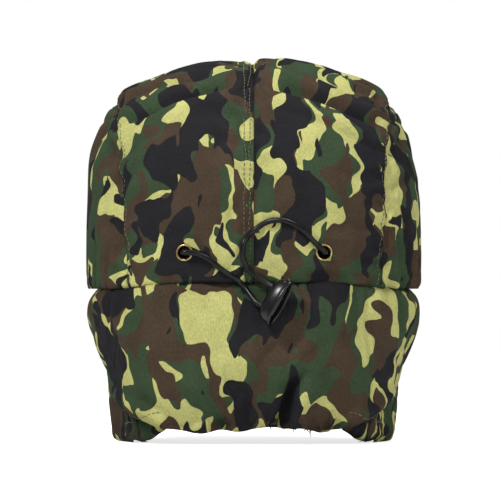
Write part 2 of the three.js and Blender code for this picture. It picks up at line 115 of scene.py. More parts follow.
FRONT_HALF_SHARE = 0.78    # half width of the front flap, over the distance to the side seam

CORD_RADIUS = 1.8
CORD_RISE = 23.0
CORD_INSET = 10.0
EYELET_X = 44.0
EYELET_BORE = 3.9
EYELET_RADIUS = 5.6
TOGGLE_LEAN = math.radians(29)
TOGGLE_FACING = math.radians(22)
TOGGLE_END = np.array([8.7, MIDDLE_Y - 124.0, BRIM - 4.8])
TOGGLE_HOLE_OFFSET = 6.9

STITCH_LENGTH = 2.3
STITCH_GAP = 0.9
STITCH_RADIUS = 0.26
STITCH_LIFT = 0.05
CENTRE_STITCHES = (-2.6, -6.4)     # the two rows' places beside the centre seam
SIDE_STITCH = 2.4                  # one row's distance from each side seam
HEM_STITCH = 11.0                  # the row's height above the neck flap's hem


# ------------------------------------------------------------------ small helpers
def lerp(a, b, t):
    return a + (b - a) * t


def smoothstep(value, low, high):
    t = np.clip((value - low) / (high - low), 0, 1)
    return t * t * (3 - 2 * t)


def bell(value, centre, width):
    return np.exp(-((value - centre) / width) ** 2)


def signed_power(value, power):
    return np.sign(value) * np.abs(value) ** power


def wander(points, size, seed):
    """Smooth noise in -1..1 at each point; size is the length of one undulation in mm."""
    shift = Vector((seed * 17.3, seed * 5.1, seed * 9.7))
    return np.array([noise.noise(Vector(p) / size + shift) for p in points])


def grid_faces(rows, columns):
    """Quads of a rows x columns grid of points, row by row."""
    row, column = np.meshgrid(np.arange(rows - 1), np.arange(columns - 1), indexing="ij")
    first = (row * columns + column).ravel()
    return np.stack([first, first + 1, first + columns + 1, first + columns], axis=1)


def grid_normals(grid):
    """Unit normals of a grid whose rows run down and whose columns run anticlockwise from above."""
    normals = np.cross(np.gradient(grid, axis=0), np.gradient(grid, axis=1))
    return normals / np.maximum(np.linalg.norm(normals, axis=2, keepdims=True), 1e-9)


def ring_faces(rows, sides, closed=False):
    """Quads round a tube of rings with the same number of points; closed joins its ends too."""
    index = np.arange(rows * sides).reshape(rows, sides)
    index = np.concatenate([index, index[:, :1]], axis=1)
    if closed:
        index = np.concatenate([index, index[:1]])
    return index.ravel()[grid_faces(*index.shape)]


def tube_faces(rows, sides):
    """Faces of a tube of rings, with a flat cap on each end."""
    first = list(range(sides))
    last = [(rows - 1) * sides + k for k in first]
    return ring_faces(rows, sides).tolist() + [first[::-1], last]


def slab_faces(rows, columns):
    """Quads of a closed slab made of an outer and an inner grid of the same size."""
    outer = grid_faces(rows, columns)
    behind = rows * columns
    border = np.concatenate([
        np.arange(columns - 1),
        np.arange(rows - 1) * columns + columns - 1,
        behind - 1 - np.arange(columns - 1),
        (rows - 1 - np.arange(rows - 1)) * columns,
    ])
    following = np.roll(border, -1)
    rim = np.stack([border, border + behind, following + behind, following], axis=1)
    return np.concatenate([outer, outer[:, ::-1] + behind, rim])


def signed_volume(points, quads):
    a, b, c, d = (points[quads[:, k]] for k in range(4))
    first = np.einsum("ij,ij->i", a, np.cross(b, c))
    second = np.einsum("ij,ij->i", a, np.cross(c, d))
    return (first + second).sum() / 6


def facing_out(points, quads):
    """The quads of a closed body, turned over if they face inwards."""
    if signed_volume(points - points.mean(axis=0), quads) < 0:
        return quads[:, ::-1]
    return quads


def edge_roll(distance, radius):
    """0 away from an edge, rising to 1 on it as a quarter circle does."""
    return 1 - np.sqrt(1 - np.clip(1 - distance / radius, 0, 1) ** 2)


def resample(path, count):
    """Points evenly spaced along a polyline."""
    steps = np.r_[0, np.cumsum(np.linalg.norm(np.diff(path, axis=0), axis=1))]
    places = np.linspace(0, steps[-1], count)
    return np.stack([np.interp(places, steps, path[:, k]) for k in range(path.shape[1])], axis=1)


def make_object(name, points, faces, material=None):
    mesh = bpy.data.meshes.new(name)
    mesh.from_pydata((np.asarray(points) * MM).tolist(), [], [list(map(int, f)) for f in faces])
    mesh.validate()
    mesh.shade_smooth()
    if material:
        mesh.materials.append(material)
    piece = bpy.data.objects.new(name, mesh)
    bpy.context.scene.collection.objects.link(piece)
    return piece


def attach(piece, body, slot, *nodes):
    """Sets what a piece rides on and hides the CAD nodes that it stands for; slot is not used."""
    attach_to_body(piece, body)
    if nodes:
        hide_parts(*nodes)


def blend_from_crown(piece):
    """Bakes a piece's transform into its mesh."""
    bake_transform(piece)


def set_fabric_uv(piece, corners):
    """Writes each face corner's place on the flat cloth, in metres, to the UV layer 'fabric'."""
    layer = piece.data.uv_layers.new(name="fabric")
    layer.data.foreach_set("uv", (np.asarray(corners) * MM).astype(np.float32).ravel())


def set_fabric_uv_by_vertex(piece, places):
    vertices = np.empty(len(piece.data.loops), dtype=np.int64)
    piece.data.loops.foreach_get("vertex_index", vertices)
    set_fabric_uv(piece, places[vertices])


def apply_modifiers(piece):
    """Keeps the evaluated mesh and clears the modifiers."""
    bpy.context.view_layer.update()
    evaluated = piece.evaluated_get(bpy.context.evaluated_depsgraph_get())
    mesh = bpy.data.meshes.new_from_object(evaluated)
    piece.modifiers.clear()
    old = piece.data
    piece.data = mesh
    bpy.data.meshes.remove(old)
    mesh.name = piece.name


def points_of(piece):
    points = np.empty(3 * len(piece.data.vertices))
    piece.data.vertices.foreach_get("co", points)
    return points.reshape(-1, 3) / MM


def normals_of(piece):
    normals = np.empty(3 * len(piece.data.vertices), dtype=np.float32)
    piece.data.vertex_normals.foreach_get("vector", normals)
    return normals.reshape(-1, 3)


def set_points(piece, points):
    piece.data.vertices.foreach_set("co", (points * MM).ravel())
    piece.data.update()


def subdivide(piece, levels):
    modifier = piece.modifiers.new("smooth", "SUBSURF")
    modifier.levels = levels
    modifier.render_levels = levels
    apply_modifiers(piece)


def thicken(piece, thickness):
    modifier = piece.modifiers.new("thickness", "SOLIDIFY")
    modifier.thickness = thickness * MM
    modifier.offset = -1
    apply_modifiers(piece)


def simulate_cloth(piece, pinned, growth, pressure, frames, cap, more=None, growth_more=0.0):
    """Lets cloth that is a little too large for its pinned seams buckle and puff."""
    before = points_of(piece)
    pins = piece.vertex_groups.new(name="pins")
    pins.add([int(i) for i in np.nonzero(pinned)[0]], 1.0, "REPLACE")
    modifier = piece.modifiers.new("cloth", "CLOTH")
    settings = modifier.settings
    settings.quality = 5
    settings.mass = 0.15
    settings.tension_stiffness = 15
    settings.compression_stiffness = 15
    settings.shear_stiffness = 5
    settings.bending_stiffness = 0.3
    settings.tension_damping = 8
    settings.compression_damping = 8
    settings.air_damping = 2
    settings.vertex_group_mass = "pins"
    settings.shrink_min = -growth
    if more is not None:
        group = piece.vertex_groups.new(name="growth")
        for index, weight in enumerate(more):
            if weight > 0.01:
                group.add([index], float(weight), "REPLACE")
        settings.vertex_group_shrink = "growth"
        settings.shrink_max = -growth_more
    settings.use_pressure = True
    settings.uniform_pressure_force = pressure
    settings.effector_weights.gravity = 0
    modifier.collision_settings.use_collision = False
    modifier.point_cache.frame_start = 1
    modifier.point_cache.frame_end = frames
    for step in range(1, frames + 1):
        bpy.context.scene.frame_set(step)
    evaluated = piece.evaluated_get(bpy.context.evaluated_depsgraph_get())
    after = np.empty(3 * len(evaluated.data.vertices))
    evaluated.data.vertices.foreach_get("co", after)
    after = after.reshape(-1, 3) / MM
    piece.modifiers.clear()
    piece.vertex_groups.clear()
    bpy.context.scene.frame_set(1)
    move = after - before
    length = np.linalg.norm(move, axis=1, keepdims=True)
    move *= np.minimum(1, cap / np.maximum(length, 1e-6))
    move[~np.isfinite(move)] = 0
    set_points(piece, before + move)


# ------------------------------------------------------------------ node materials
class Nodes:
    """A short way to write a node tree."""

    def __init__(self, name, roughness=0.8):
        self.material = bpy.data.materials.new(name)
        self.material.use_nodes = True
        self.tree = self.material.node_tree
        self.shader = self.tree.nodes["Principled BSDF"]
        self.shader.inputs["Roughness"].default_value = roughness

    def add(self, kind, **values):
        node = self.tree.nodes.new(kind)
        for key, value in values.items():
            if hasattr(node, key) and key not in node.inputs:
                setattr(node, key, value)
            else:
                self.put(node.inputs[key], value)
        return node

    def put(self, socket, value):
        if isinstance(value, bpy.types.NodeSocket):
            self.tree.links.new(value, socket)
        elif isinstance(value, (tuple, list)) and len(value) == 3 and socket.type == "RGBA":
            socket.default_value = (*value, 1)
        else:
            socket.default_value = value

    def math(self, operation, a, b=0.0, clamp=False):
        node = self.tree.nodes.new("ShaderNodeMath")
        node.operation = operation
        node.use_clamp = clamp
        self.put(node.inputs[0], a)
        self.put(node.inputs[1], b)
        return node.outputs[0]

    def mix(self, factor, a, b, blend="MIX"):
        node = self.tree.nodes.new("ShaderNodeMix")
        node.data_type = "RGBA"
        node.blend_type = blend
        self.put(node.inputs[0], factor)
        self.put(node.inputs[6], a)
        self.put(node.inputs[7], b)
        return node.outputs[2]

    def step(self, value, low, high):
        node = self.tree.nodes.new("ShaderNodeMapRange")
        node.interpolation_type = "SMOOTHSTEP"
        self.put(node.inputs["Value"], value)
        node.inputs["From Min"].default_value = low
        node.inputs["From Max"].default_value = high
        return node.outputs["Result"]

    def scaled(self, vector, scale, offset=(0, 0, 0)):
        node = self.add("ShaderNodeMapping")
        self.put(node.inputs["Vector"], vector)
        node.inputs["Scale"].default_value = scale
        node.inputs["Location"].default_value = offset
        return node.outputs[0]

    def place(self):
        return self.add("ShaderNodeTexCoord").outputs["Object"]

    def noise(self, vector, scale, detail=2.0, distortion=0.0, rough=0.5):
        return self.add("ShaderNodeTexNoise", Vector=vector, Scale=scale, Detail=detail,
                        Distortion=distortion, Roughness=rough).outputs[0]

    def bump(self, height, strength, distance, under=None):
        node = self.add("ShaderNodeBump", Height=height, Strength=strength, Distance=distance)
        if under is not None:
            self.put(node.inputs["Normal"], under)
        return node.outputs[0]

    def set(self, **values):
        for key, value in values.items():
            self.put(self.shader.inputs[key.replace("_", " ")], value)


YELLOW_GREEN = (0.425, 0.420, 0.152)
DARK_GREEN = (0.034, 0.055, 0.028)
BROWN = (0.054, 0.0365, 0.0235)
BLACK = (0.0145, 0.0142, 0.0162)


def weave_height(nodes, cloth, pitch):
    """Two crossed sets of threads."""
    threads = []
    for direction in ("X", "Y"):
        wave = nodes.add("ShaderNodeTexWave", wave_type="BANDS", bands_direction=direction,
                         Vector=cloth, Scale=0.314 / pitch, Distortion=0.6, Detail=1.0)
        threads.append(wave.outputs["Fac"])
    return nodes.math("ADD", threads[0], threads[1])


def camouflage_material(name, offset):
    """Woodland print: yellow-green ground, then dark green, brown and black lobes."""
    nodes = Nodes(name, 0.86)
    cloth = nodes.add("ShaderNodeUVMap", uv_map="fabric").outputs[0]
    swirl = nodes.add("ShaderNodeTexNoise", Vector=nodes.scaled(cloth, (1, 1, 1), offset),
                      Scale=40.0, Detail=1.0)
    centred = nodes.add("ShaderNodeVectorMath", operation="SUBTRACT")
    nodes.put(centred.inputs[0], swirl.outputs["Color"])
    centred.inputs[1].default_value = (0.5, 0.5, 0.5)
    pushed = nodes.add("ShaderNodeVectorMath", operation="SCALE")
    nodes.put(pushed.inputs[0], centred.outputs[0])
    pushed.inputs["Scale"].default_value = 0.027
    warped = nodes.add("ShaderNodeVectorMath", operation="ADD")
    nodes.put(warped.inputs[0], cloth)
    nodes.put(warped.inputs[1], pushed.outputs[0])
    colour = YELLOW_GREEN
    layers = [
        (DARK_GREEN, (1.5, 0.85, 1), 3.1, 0.478),
        (BROWN, (1.6, 0.8, 1), 8.7, 0.535),
        (BLACK, (1.7, 0.75, 1), 14.2, 0.547),
    ]
    for paint, stretch, depth, level in layers:
        place = nodes.scaled(warped.outputs[0], stretch, (offset[0], offset[1], depth + offset[2]))
        lobes = nodes.noise(place, 33.0, 1.2, 0.45, 0.45)
        edge = nodes.step(lobes, level - 0.0015, level + 0.0015)
        colour = nodes.mix(edge, colour, paint)
    fade = nodes.step(nodes.noise(nodes.scaled(cloth, (1, 1, 1), offset), 60.0, 3.0), 0.25, 0.8)
    height = weave_height(nodes, cloth, 0.0006)
    threads = nodes.step(height, 0.2, 1.6)
    flecks = nodes.step(nodes.noise(nodes.scaled(cloth, (1.0, 0.4, 1)), 1300.0, 2.0), 0.3, 0.75)
    shade = nodes.math("ADD", nodes.math("MULTIPLY", threads, 0.22), nodes.math("MULTIPLY", flecks, 0.30))
    shade = nodes.math("ADD", nodes.math("ADD", shade, nodes.math("MULTIPLY", fade, 0.22)), 0.62)
    worn = nodes.add("ShaderNodeCombineColor", Red=shade, Green=shade, Blue=shade).outputs[0]
    colour = nodes.mix(1.0, colour, worn, "MULTIPLY")
    rough = nodes.bump(height, 0.35, 0.0002)
    rumple = nodes.noise(nodes.scaled(cloth, (1.0, 0.6, 1), offset), 110.0, 4.0)
    nodes.set(Base_Color=colour, Normal=nodes.bump(rumple, 0.4, 0.0022, rough),
              Specular_IOR_Level=0.08)
    return nodes.material


def soft_material(name, colour, second, scale, roughness, sheen):
    nodes = Nodes(name, roughness)
    place = nodes.place()
    fleck = nodes.step(nodes.noise(place, scale, 4.0), 0.3, 0.75)
    nodes.set(Base_Color=nodes.mix(fleck, colour, second),
              Normal=nodes.bump(nodes.noise(place, scale * 2.5, 5.0), 0.5, 0.0006),
              Sheen_Weight=sheen, Specular_IOR_Level=0.2)
    return nodes.material


def webbing_material(name, colour):
    nodes = Nodes(name, 0.75)
    place = nodes.place()
    ribs = nodes.add("ShaderNodeTexWave", wave_type="BANDS", bands_direction="Y", Vector=place,
                     Scale=320.0, Distortion=0.4).outputs["Fac"]
    rows = nodes.add("ShaderNodeTexWave", wave_type="BANDS", bands_direction="Z", Vector=place,
                     Scale=220.0, Distortion=0.4).outputs["Fac"]
    height = nodes.math("ADD", ribs, rows)
    shade = nodes.mix(nodes.step(height, 0.2, 1.6), colour, tuple(2.2 * c + 0.01 for c in colour))
    nodes.set(Base_Color=shade, Normal=nodes.bump(height, 0.6, 0.0004))
    return nodes.material


def cord_material():
    nodes = Nodes("black_elastic_cord", 0.30)
    place = nodes.place()
    braid = nodes.add("ShaderNodeTexWave", wave_type="BANDS", bands_direction="DIAGONAL",
                      Vector=place, Scale=420.0, Distortion=1.0).outputs["Fac"]
    shade = nodes.mix(nodes.step(braid, 0.1, 0.9), (0.002, 0.002, 0.0024), (0.005, 0.005, 0.0056))
    nodes.set(Base_Color=shade, Normal=nodes.bump(braid, 0.05, 0.0002), Specular_IOR_Level=0.24)
    return nodes.material


def brass_material():
    nodes = Nodes("satin_brass", 0.34)
    place = nodes.place()
    tarnish = nodes.step(nodes.noise(place, 900.0, 4.0), 0.35, 0.75)
    nodes.set(Base_Color=nodes.mix(tarnish, (0.52, 0.39, 0.17), (0.20, 0.13, 0.055)), Metallic=1.0,
              Roughness=nodes.math("ADD", 0.26, nodes.math("MULTIPLY", tarnish, 0.25)),
              Normal=nodes.bump(nodes.noise(place, 3000.0, 2.0), 0.15, 0.0001))
    return nodes.material


def plastic_material():
    nodes = Nodes("glossy_black_plastic", 0.2)
    place = nodes.place()
    scuff = nodes.step(nodes.noise(place, 700.0, 5.0), 0.5, 0.8)
    nodes.set(Base_Color=nodes.mix(scuff, (0.003, 0.003, 0.0035), (0.006, 0.006, 0.007)),
              Roughness=nodes.math("ADD", 0.26, nodes.math("MULTIPLY", scuff, 0.08)),
              Normal=nodes.bump(nodes.noise(place, 500.0, 2.0), 0.006, 0.0002),
              Specular_IOR_Level=0.4)
    return nodes.material


def floor_material():
    nodes = Nodes("pale_floor", 0.9)
    place = nodes.place()
    seen = nodes.add("ShaderNodeLightPath").outputs["Is Camera Ray"]
    nodes.set(Base_Color=nodes.mix(nodes.noise(place, 3.0), (0.93, 0.93, 0.93), (0.96, 0.96, 0.96)),
              Emission_Color=(1, 1, 1), Emission_Strength=nodes.math("MULTIPLY", seen, 0.74))
    return nodes.material


MATERIALS = {
    "centre_left": camouflage_material("camouflage_centre_left", (0.31, 0.12, 0.0)),
    "centre_right": camouflage_material("camouflage_centre_right", (1.73, 0.55, 0.0)),
    "side": camouflage_material("camouflage_side", (2.9, 1.4, 0.0)),
    "flap": camouflage_material("camouflage_flap", (4.1, 2.2, 0.0)),
    "ear": camouflage_material("camouflage_ear", (5.3, 3.1, 0.0)),
    "thread": soft_material("stitch_thread", (0.10, 0.10, 0.06), (0.17, 0.165, 0.10), 900.0, 0.7, 0.1),
    "lining": soft_material("brushed_lining", (0.022, 0.021, 0.019), (0.04, 0.038, 0.034), 420.0, 0.9, 0.3),
    "fur": soft_material("faux_fur", (0.030, 0.020, 0.013), (0.085, 0.060, 0.040), 120.0, 0.65, 0.4),
    "strap": webbing_material("black_webbing", (0.012, 0.012, 0.013)),
    "tape": webbing_material("channel_tape", (0.05, 0.055, 0.04)),
    "hook": soft_material("hook_tape", (0.010, 0.010, 0.010), (0.03, 0.03, 0.03), 1500.0, 0.6, 0.0),
    "loop": soft_material("loop_tape", (0.014, 0.014, 0.015), (0.04, 0.04, 0.042), 900.0, 0.95, 0.4),
    "cord": cord_material(),
    "brass": brass_material(),
    "plastic": plastic_material(),
    "floor": floor_material(),
}


# ------------------------------------------------------------------ crown surface
def profile_radius(theta, inset):
    along = (np.abs(np.cos(theta)) / (HALF_DEPTH - inset)) ** PROFILE_POWER
    up = (np.abs(np.sin(theta)) / (HEIGHT - inset)) ** PROFILE_POWER
    return (along + up) ** (-1 / PROFILE_POWER)


def shoulder_power(theta):
    return lerp(BRIM_POWER, TOP_POWER, np.sin(theta) ** 2)


def seam_share(theta):
    return (SEAM_AT_BRIM + SEAM_SPREAD * np.sin(theta)) / HALF_WIDTH


def reach_at(theta, share):
    return (1 - np.minimum(np.abs(share), 1) ** WIDTH_POWER) ** (1 / shoulder_power(theta))


def place_on_crown(theta, share, reach, inset):
    """theta runs from the back of the brim over the top to the front; share is x over the half width."""
    x = share * (HALF_WIDTH - inset)
    fall = TOP_PEAK * np.sin(np.pi * np.minimum(np.abs(x) / 105, 1)) ** 2 * np.sin(theta) ** 4
    radius = profile_radius(theta, inset) * reach - fall
    return np.stack([
        x + 0 * radius,
        MIDDLE_Y - radius * np.cos(theta),
        BRIM + radius * np.sin(theta),
    ], axis=-1)


def centre_patch(rows, columns, inset):
    theta, across = np.meshgrid(np.linspace(0, np.pi, rows), np.linspace(-1, 1, columns), indexing="ij")
    share = across * seam_share(theta)
    points = place_on_crown(theta, share, reach_at(theta, share), inset)
    arc = theta * (HALF_DEPTH + HEIGHT) / 2
    return points, np.stack([share * HALF_WIDTH * 1.06, arc], axis=-1)


def side_patch(sign, rows, columns, inset):
    """A half-disc filled from its brim line, two upright sides and the seam's top, as a Coons patch."""
    quarter = np.pi / 4

    def seam(theta):
        radius = profile_radius(theta, 0) * reach_at(theta, seam_share(theta))
        return np.stack([-radius * np.cos(theta), radius * np.sin(theta)], axis=-1)

    s = np.linspace(0, 1, columns)[None, :, None]
    t = np.linspace(0, 1, rows)[:, None, None]
    foot = seam(np.array([0.0, np.pi]))
    bottom = lerp(foot[0], foot[1], s)
    top = seam(np.linspace(quarter, 3 * quarter, columns))[None]
    left = seam(np.linspace(0, quarter, rows))[:, None]
    right = seam(np.linspace(np.pi, 3 * quarter, rows))[:, None]
    corners = lerp(lerp(bottom[:, :1], bottom[:, -1:], s), lerp(top[:, :1], top[:, -1:], s), t)
    flat = lerp(bottom, top, t) + lerp(left, right, s) - corners
    y, z = flat[..., 0], np.maximum(flat[..., 1], 0)
    theta = np.arctan2(z, -y)
    reach = np.hypot(y, z) / profile_radius(theta, 0)
    share = sign * (1 - np.minimum(reach, 1) ** shoulder_power(theta)) ** (1 / WIDTH_POWER)
    points = place_on_crown(theta, share, reach, inset)
    return points, np.stack([sign * y, z], axis=-1)


def crown_depth(x, height, inset):
    """Half the crown's depth at a distance x from the middle and a height above the brim."""
    share = np.minimum(1, np.abs(x) / (HALF_WIDTH - inset))
    depth = HALF_DEPTH - inset + 0 * share
    for _ in range(6):
        reach = reach_at(np.arctan2(height, np.maximum(depth, 1)), share)
        rise = np.minimum(1, height / np.maximum(1, (HEIGHT - inset) * reach))
        depth = (HALF_DEPTH - inset) * reach * (1 - rise ** PROFILE_POWER) ** (1 / PROFILE_POWER)
    return depth


def back_of_crown(x, height, inset=CROWN_INSET):
    """A place on the back of the crown and the direction that faces out of it."""
    step = 2.0
    place = np.array([x, MIDDLE_Y - float(crown_depth(x, height, inset)), BRIM + height])
    slope_x = float(crown_depth(x + step, height, inset) - crown_depth(x - step, height, inset))
    slope_z = float(crown_depth(x, height + step, inset) - crown_depth(x, height - step, inset))
    out = np.array([-slope_x / (2 * step), -1, -slope_z / (2 * step)])
    return place, out / np.linalg.norm(out)


def crown_outline(height, inset, count):
    """The crown's plan outline, evenly spaced, from the middle of the back by way of +X."""
    turn = np.linspace(0, 2 * np.pi, 1441)
    x = (HALF_WIDTH - inset) * signed_power(np.sin(turn), 2 / WIDTH_POWER)
    y = MIDDLE_Y - np.sign(np.cos(turn)) * crown_depth(x, height, inset)
    path = np.stack([x, y, BRIM + height + 0 * x], axis=1)
    return resample(path, count + 1)[:-1]


def brim_arch(x, y):
    """How far the brim line rises above level, across the back of the head."""
    return BRIM_ARCH * (1 - smoothstep(np.abs(x), 42, 92)) * smoothstep(MIDDLE_Y - y, 30, 70)


def band_half_width(depth):
    return FLAP_HALF_WIDTH - FLAP_WIDTH_TAPER * smoothstep(depth, 5, 70)


def band_half_depth(depth):
    return FLAP_HALF_DEPTH - FLAP_DEPTH_TAPER * smoothstep(depth, 20, BRIM)


# ------------------------------------------------------------------ crown
SIDES = (("left", -1), ("right", 1))
PANELS = ("crown_centre_left", "crown_centre_right", "crown_side_left", "crown_side_right")
CROWN_SIDE_ROWS = 38
CROWN_HALF_COLUMNS = 30
LINING_SIDE_ROWS = 16
LINING_HALF_COLUMNS = 14


def crown_parts(inset, side_rows, half_columns):
    """A welded crown: points, quads, each quad's panel, and each corner's place on the cloth."""
    patches = [centre_patch(4 * side_rows + 1, 2 * half_columns + 1, inset)]
    patches += [side_patch(sign, side_rows + 1, 2 * side_rows + 1, inset) for sign in (-1, 1)]
    points, faces, panels, cloth, start = [], [], [], [], 0
    for number, (patch, flat) in enumerate(patches):
        quads = grid_faces(*patch.shape[:2])
        patch_points = patch.reshape(-1, 3)
        if number == 1:
            quads = quads[:, ::-1]
        if number == 0:
            middle = patch_points[quads].mean(axis=1)[:, 0]
            panels += np.where(middle < 0, 0, 1).tolist()
        else:
            panels += [number + 1] * len(quads)
        cloth += flat.reshape(-1, 2)[quads].reshape(-1, 2).tolist()
        points.append(patch_points)
        faces.append(quads + start)
        start += len(patch_points)
    points = np.concatenate(points)
    faces = np.concatenate(faces)
    _, first, inverse = np.unique(np.round(points, 2), axis=0, return_index=True, return_inverse=True)
    return points[first], inverse.ravel()[faces], np.array(panels), np.array(cloth)


def nearest_distance(points, targets):
    result = np.empty(len(points))
    for start in range(0, len(points), 2000):
        block = points[start:start + 2000]
        gap = block[:, None, :] - targets[None, :, :]
        result[start:start + 2000] = np.sqrt((gap ** 2).sum(axis=2).min(axis=1))
    return result


def seam_flags(points, faces, panels):
    """True at points where two panels meet, and at points on the brim."""
    seen = [set() for _ in points]
    for face, panel in zip(faces, panels):
        for corner in face:
            seen[corner].add(int(panel))
    seam = np.array([len(found) > 1 for found in seen])
    brim = points[:, 2] < BRIM + 0.05
    return seam, brim


# Folds over the shoulders: degrees up from the brim, change with distance from the middle, depth.
CROWN_FOLDS = ((63, -0.05, 4.2), (70, 0.02, 3.6), (77, 0.05, 2.8), (56, -0.10, 1.9))
SIDE_PLEAT_PITCH = 10.5


def crown_folds(points):
    """Heights of the folds the fabric keeps: over the shoulders and low on the sides."""
    x, y, z = points.T
    back = y < MIDDLE_Y
    angle = np.degrees(np.arctan2(z - BRIM, np.abs(y - MIDDLE_Y) + 1e-3))
    window = smoothstep(np.abs(x), 6, 24) * (1 - smoothstep(np.abs(x), 78, 92))
    drift = 2.6 * wander(points, 42, 1)
    slant = wander(points, 70, 15)
    folds = 0
    for start, slope, deep in CROWN_FOLDS:
        line = start + slope * np.abs(x) + drift * (1 + 0.02 * start) * 0.6
        share = smoothstep(slant, -0.5, 0.5) if deep < 2 else 1
        folds = folds + share * deep * (-bell(angle, line, 1.7) + 0.8 * bell(angle, line + 4.2, 2.3))
    folds = folds * window
    low = 1 - smoothstep(z - BRIM, 8, 70)
    side = smoothstep(np.abs(x), 80, 94)
    phase = y + 6 * wander(points, 26, 2) + 0.12 * (z - BRIM)
    folds += 3.6 * low * side * np.sin(2 * np.pi * phase / SIDE_PLEAT_PITCH)
    folds += 2.6 * side * wander(points * [1, 1, 0.35], 13, 16)
    folds += 2.4 * (1 - side) * wander(points * [1, 1, 0.5], 22, 17)
    return np.where(back | (np.abs(x) > 60), folds, 0.7 * folds)


def hold_crown(body, start, normals):
    """Keeps the settled cloth off the cord's channel and its sides from swelling out."""
    points = points_of(body)
    height = np.einsum("ij,ij->i", points - start, normals)
    channel = bell(start[:, 2] - BRIM, CORD_RISE, 12)
    lowest = lerp(-8.0, -3.6, channel)
    highest = lerp(6.0, 2.4, smoothstep(np.abs(start[:, 0]), 74, 92))
    highest += 3.0 * bell(start[:, 2] - BRIM, 86, 18)
    held = np.clip(height, lowest, highest)
    set_points(body, points + normals * (held - height)[:, None])


def make_crown():
    points, faces, panels, cloth = crown_parts(CROWN_INSET, CROWN_SIDE_ROWS, CROWN_HALF_COLUMNS)
    seam, brim = seam_flags(points, faces, panels)
    body = make_object("crown_cloth", points, faces)
    normals = normals_of(body)
    if np.sum(normals * (points - [0, MIDDLE_Y, BRIM + 40])) < 0:
        faces = faces[:, ::-1]
        cloth = cloth.reshape(-1, 4, 2)[:, ::-1].reshape(-1, 2)
        normals = -normals
        bpy.data.objects.remove(body)
        body = make_object("crown_cloth", points, faces)
    from_brim = points[:, 2] - BRIM
    shoulder = SHOULDER_FULLNESS * bell(np.abs(points[:, 0]), 85, 10) * smoothstep(from_brim, 80, 108)
    points = points + normals * shoulder[:, None]
    points[:, 2] += brim_arch(points[:, 0], points[:, 1]) * (1 - smoothstep(from_brim, 0, CORD_RISE - 5))
    from_seam = nearest_distance(points, points[seam])
    pucker = PUCKER_HEIGHT * wander(points, 8, 3) * bell(from_seam, 5, 7)
    pulls = wander(points * [0.4, 0.4, 1.0], 9, 22) * bell(from_seam, 6, 11)
    pucker += PULL_HEIGHT * pulls * smoothstep(np.abs(points[:, 0]), 62, 80)
    height = crown_folds(points) * (1 - bell(from_seam, 0, 5)) + pucker
    height -= SEAM_DEPTH * bell(from_seam, 0, SEAM_WIDTH) + BRIM_ROLL * edge_roll(from_brim, BRIM_RADIUS)
    set_points(body, points + normals * height[:, None])
    simulate_cloth(body, seam | brim, growth=0.06, pressure=1.2, frames=22, cap=7.0)
    hold_crown(body, points, normals)
    seats = seat_eyelets(body)
    set_fabric_uv(body, cloth)
    mark = body.data.attributes.new("panel", "INT", "FACE")
    mark.data.foreach_set("value", panels.astype(np.int32))
    subdivide(body, 1)
    return body, seats


def seat_eyelets(body):
    """Flattens the cloth round each eyelet and returns each eyelet's place and direction."""
    points = points_of(body)
    seats = []
    for _, mirror in SIDES:
        place, out = back_of_crown(mirror * EYELET_X, CORD_RISE)
        gap = points - place
        height = gap @ out
        aside = np.linalg.norm(gap - height[:, None] * out, axis=1)
        level = float(height[(aside < 10) & (np.abs(height) < 12)].mean())
        pull = np.where(np.abs(height) < 12, 1 - smoothstep(aside, 6, 15), 0)
        points -= (pull * (height - level + 0.6))[:, None] * out
        seats.append((place + (level - 0.6) * out, out))
    set_points(body, points)
    return seats


def split_panels(body, seats):
    """One object per sewn panel, each with the fabric's thickness and its eyelet's hole."""
    marks = np.empty(len(body.data.polygons), dtype=np.int32)
    body.data.attributes["panel"].data.foreach_get("value", marks)
    points = points_of(body)
    faces = np.array([list(p.vertices) for p in body.data.polygons])
    cloth = np.empty(2 * len(body.data.loops), dtype=np.float32)
    body.data.uv_layers["fabric"].data.foreach_get("uv", cloth)
    cloth = cloth.reshape(-1, 4, 2) / MM
    middles = points[faces].mean(axis=1)
    for place, _ in seats:
        marks[np.linalg.norm(middles - place, axis=1) < EYELET_BORE + 0.6] = -1
    paints = ("centre_left", "centre_right", "side", "side")
    for number, (name, paint) in enumerate(zip(PANELS, paints)):
        own = faces[marks == number]
        used, local = np.unique(own, return_inverse=True)
        panel = make_object(f"{name}_fabric", points[used], local.reshape(own.shape), MATERIALS[paint])
        set_fabric_uv(panel, cloth[marks == number].reshape(-1, 2))
        thicken(panel, 1.1)
        attach(panel, "crown", "camouflage", name)


def tree_of(piece):
    points = points_of(piece)
    faces = [list(p.vertices) for p in piece.data.polygons]
    return BVHTree.FromPolygons(points.tolist(), faces)


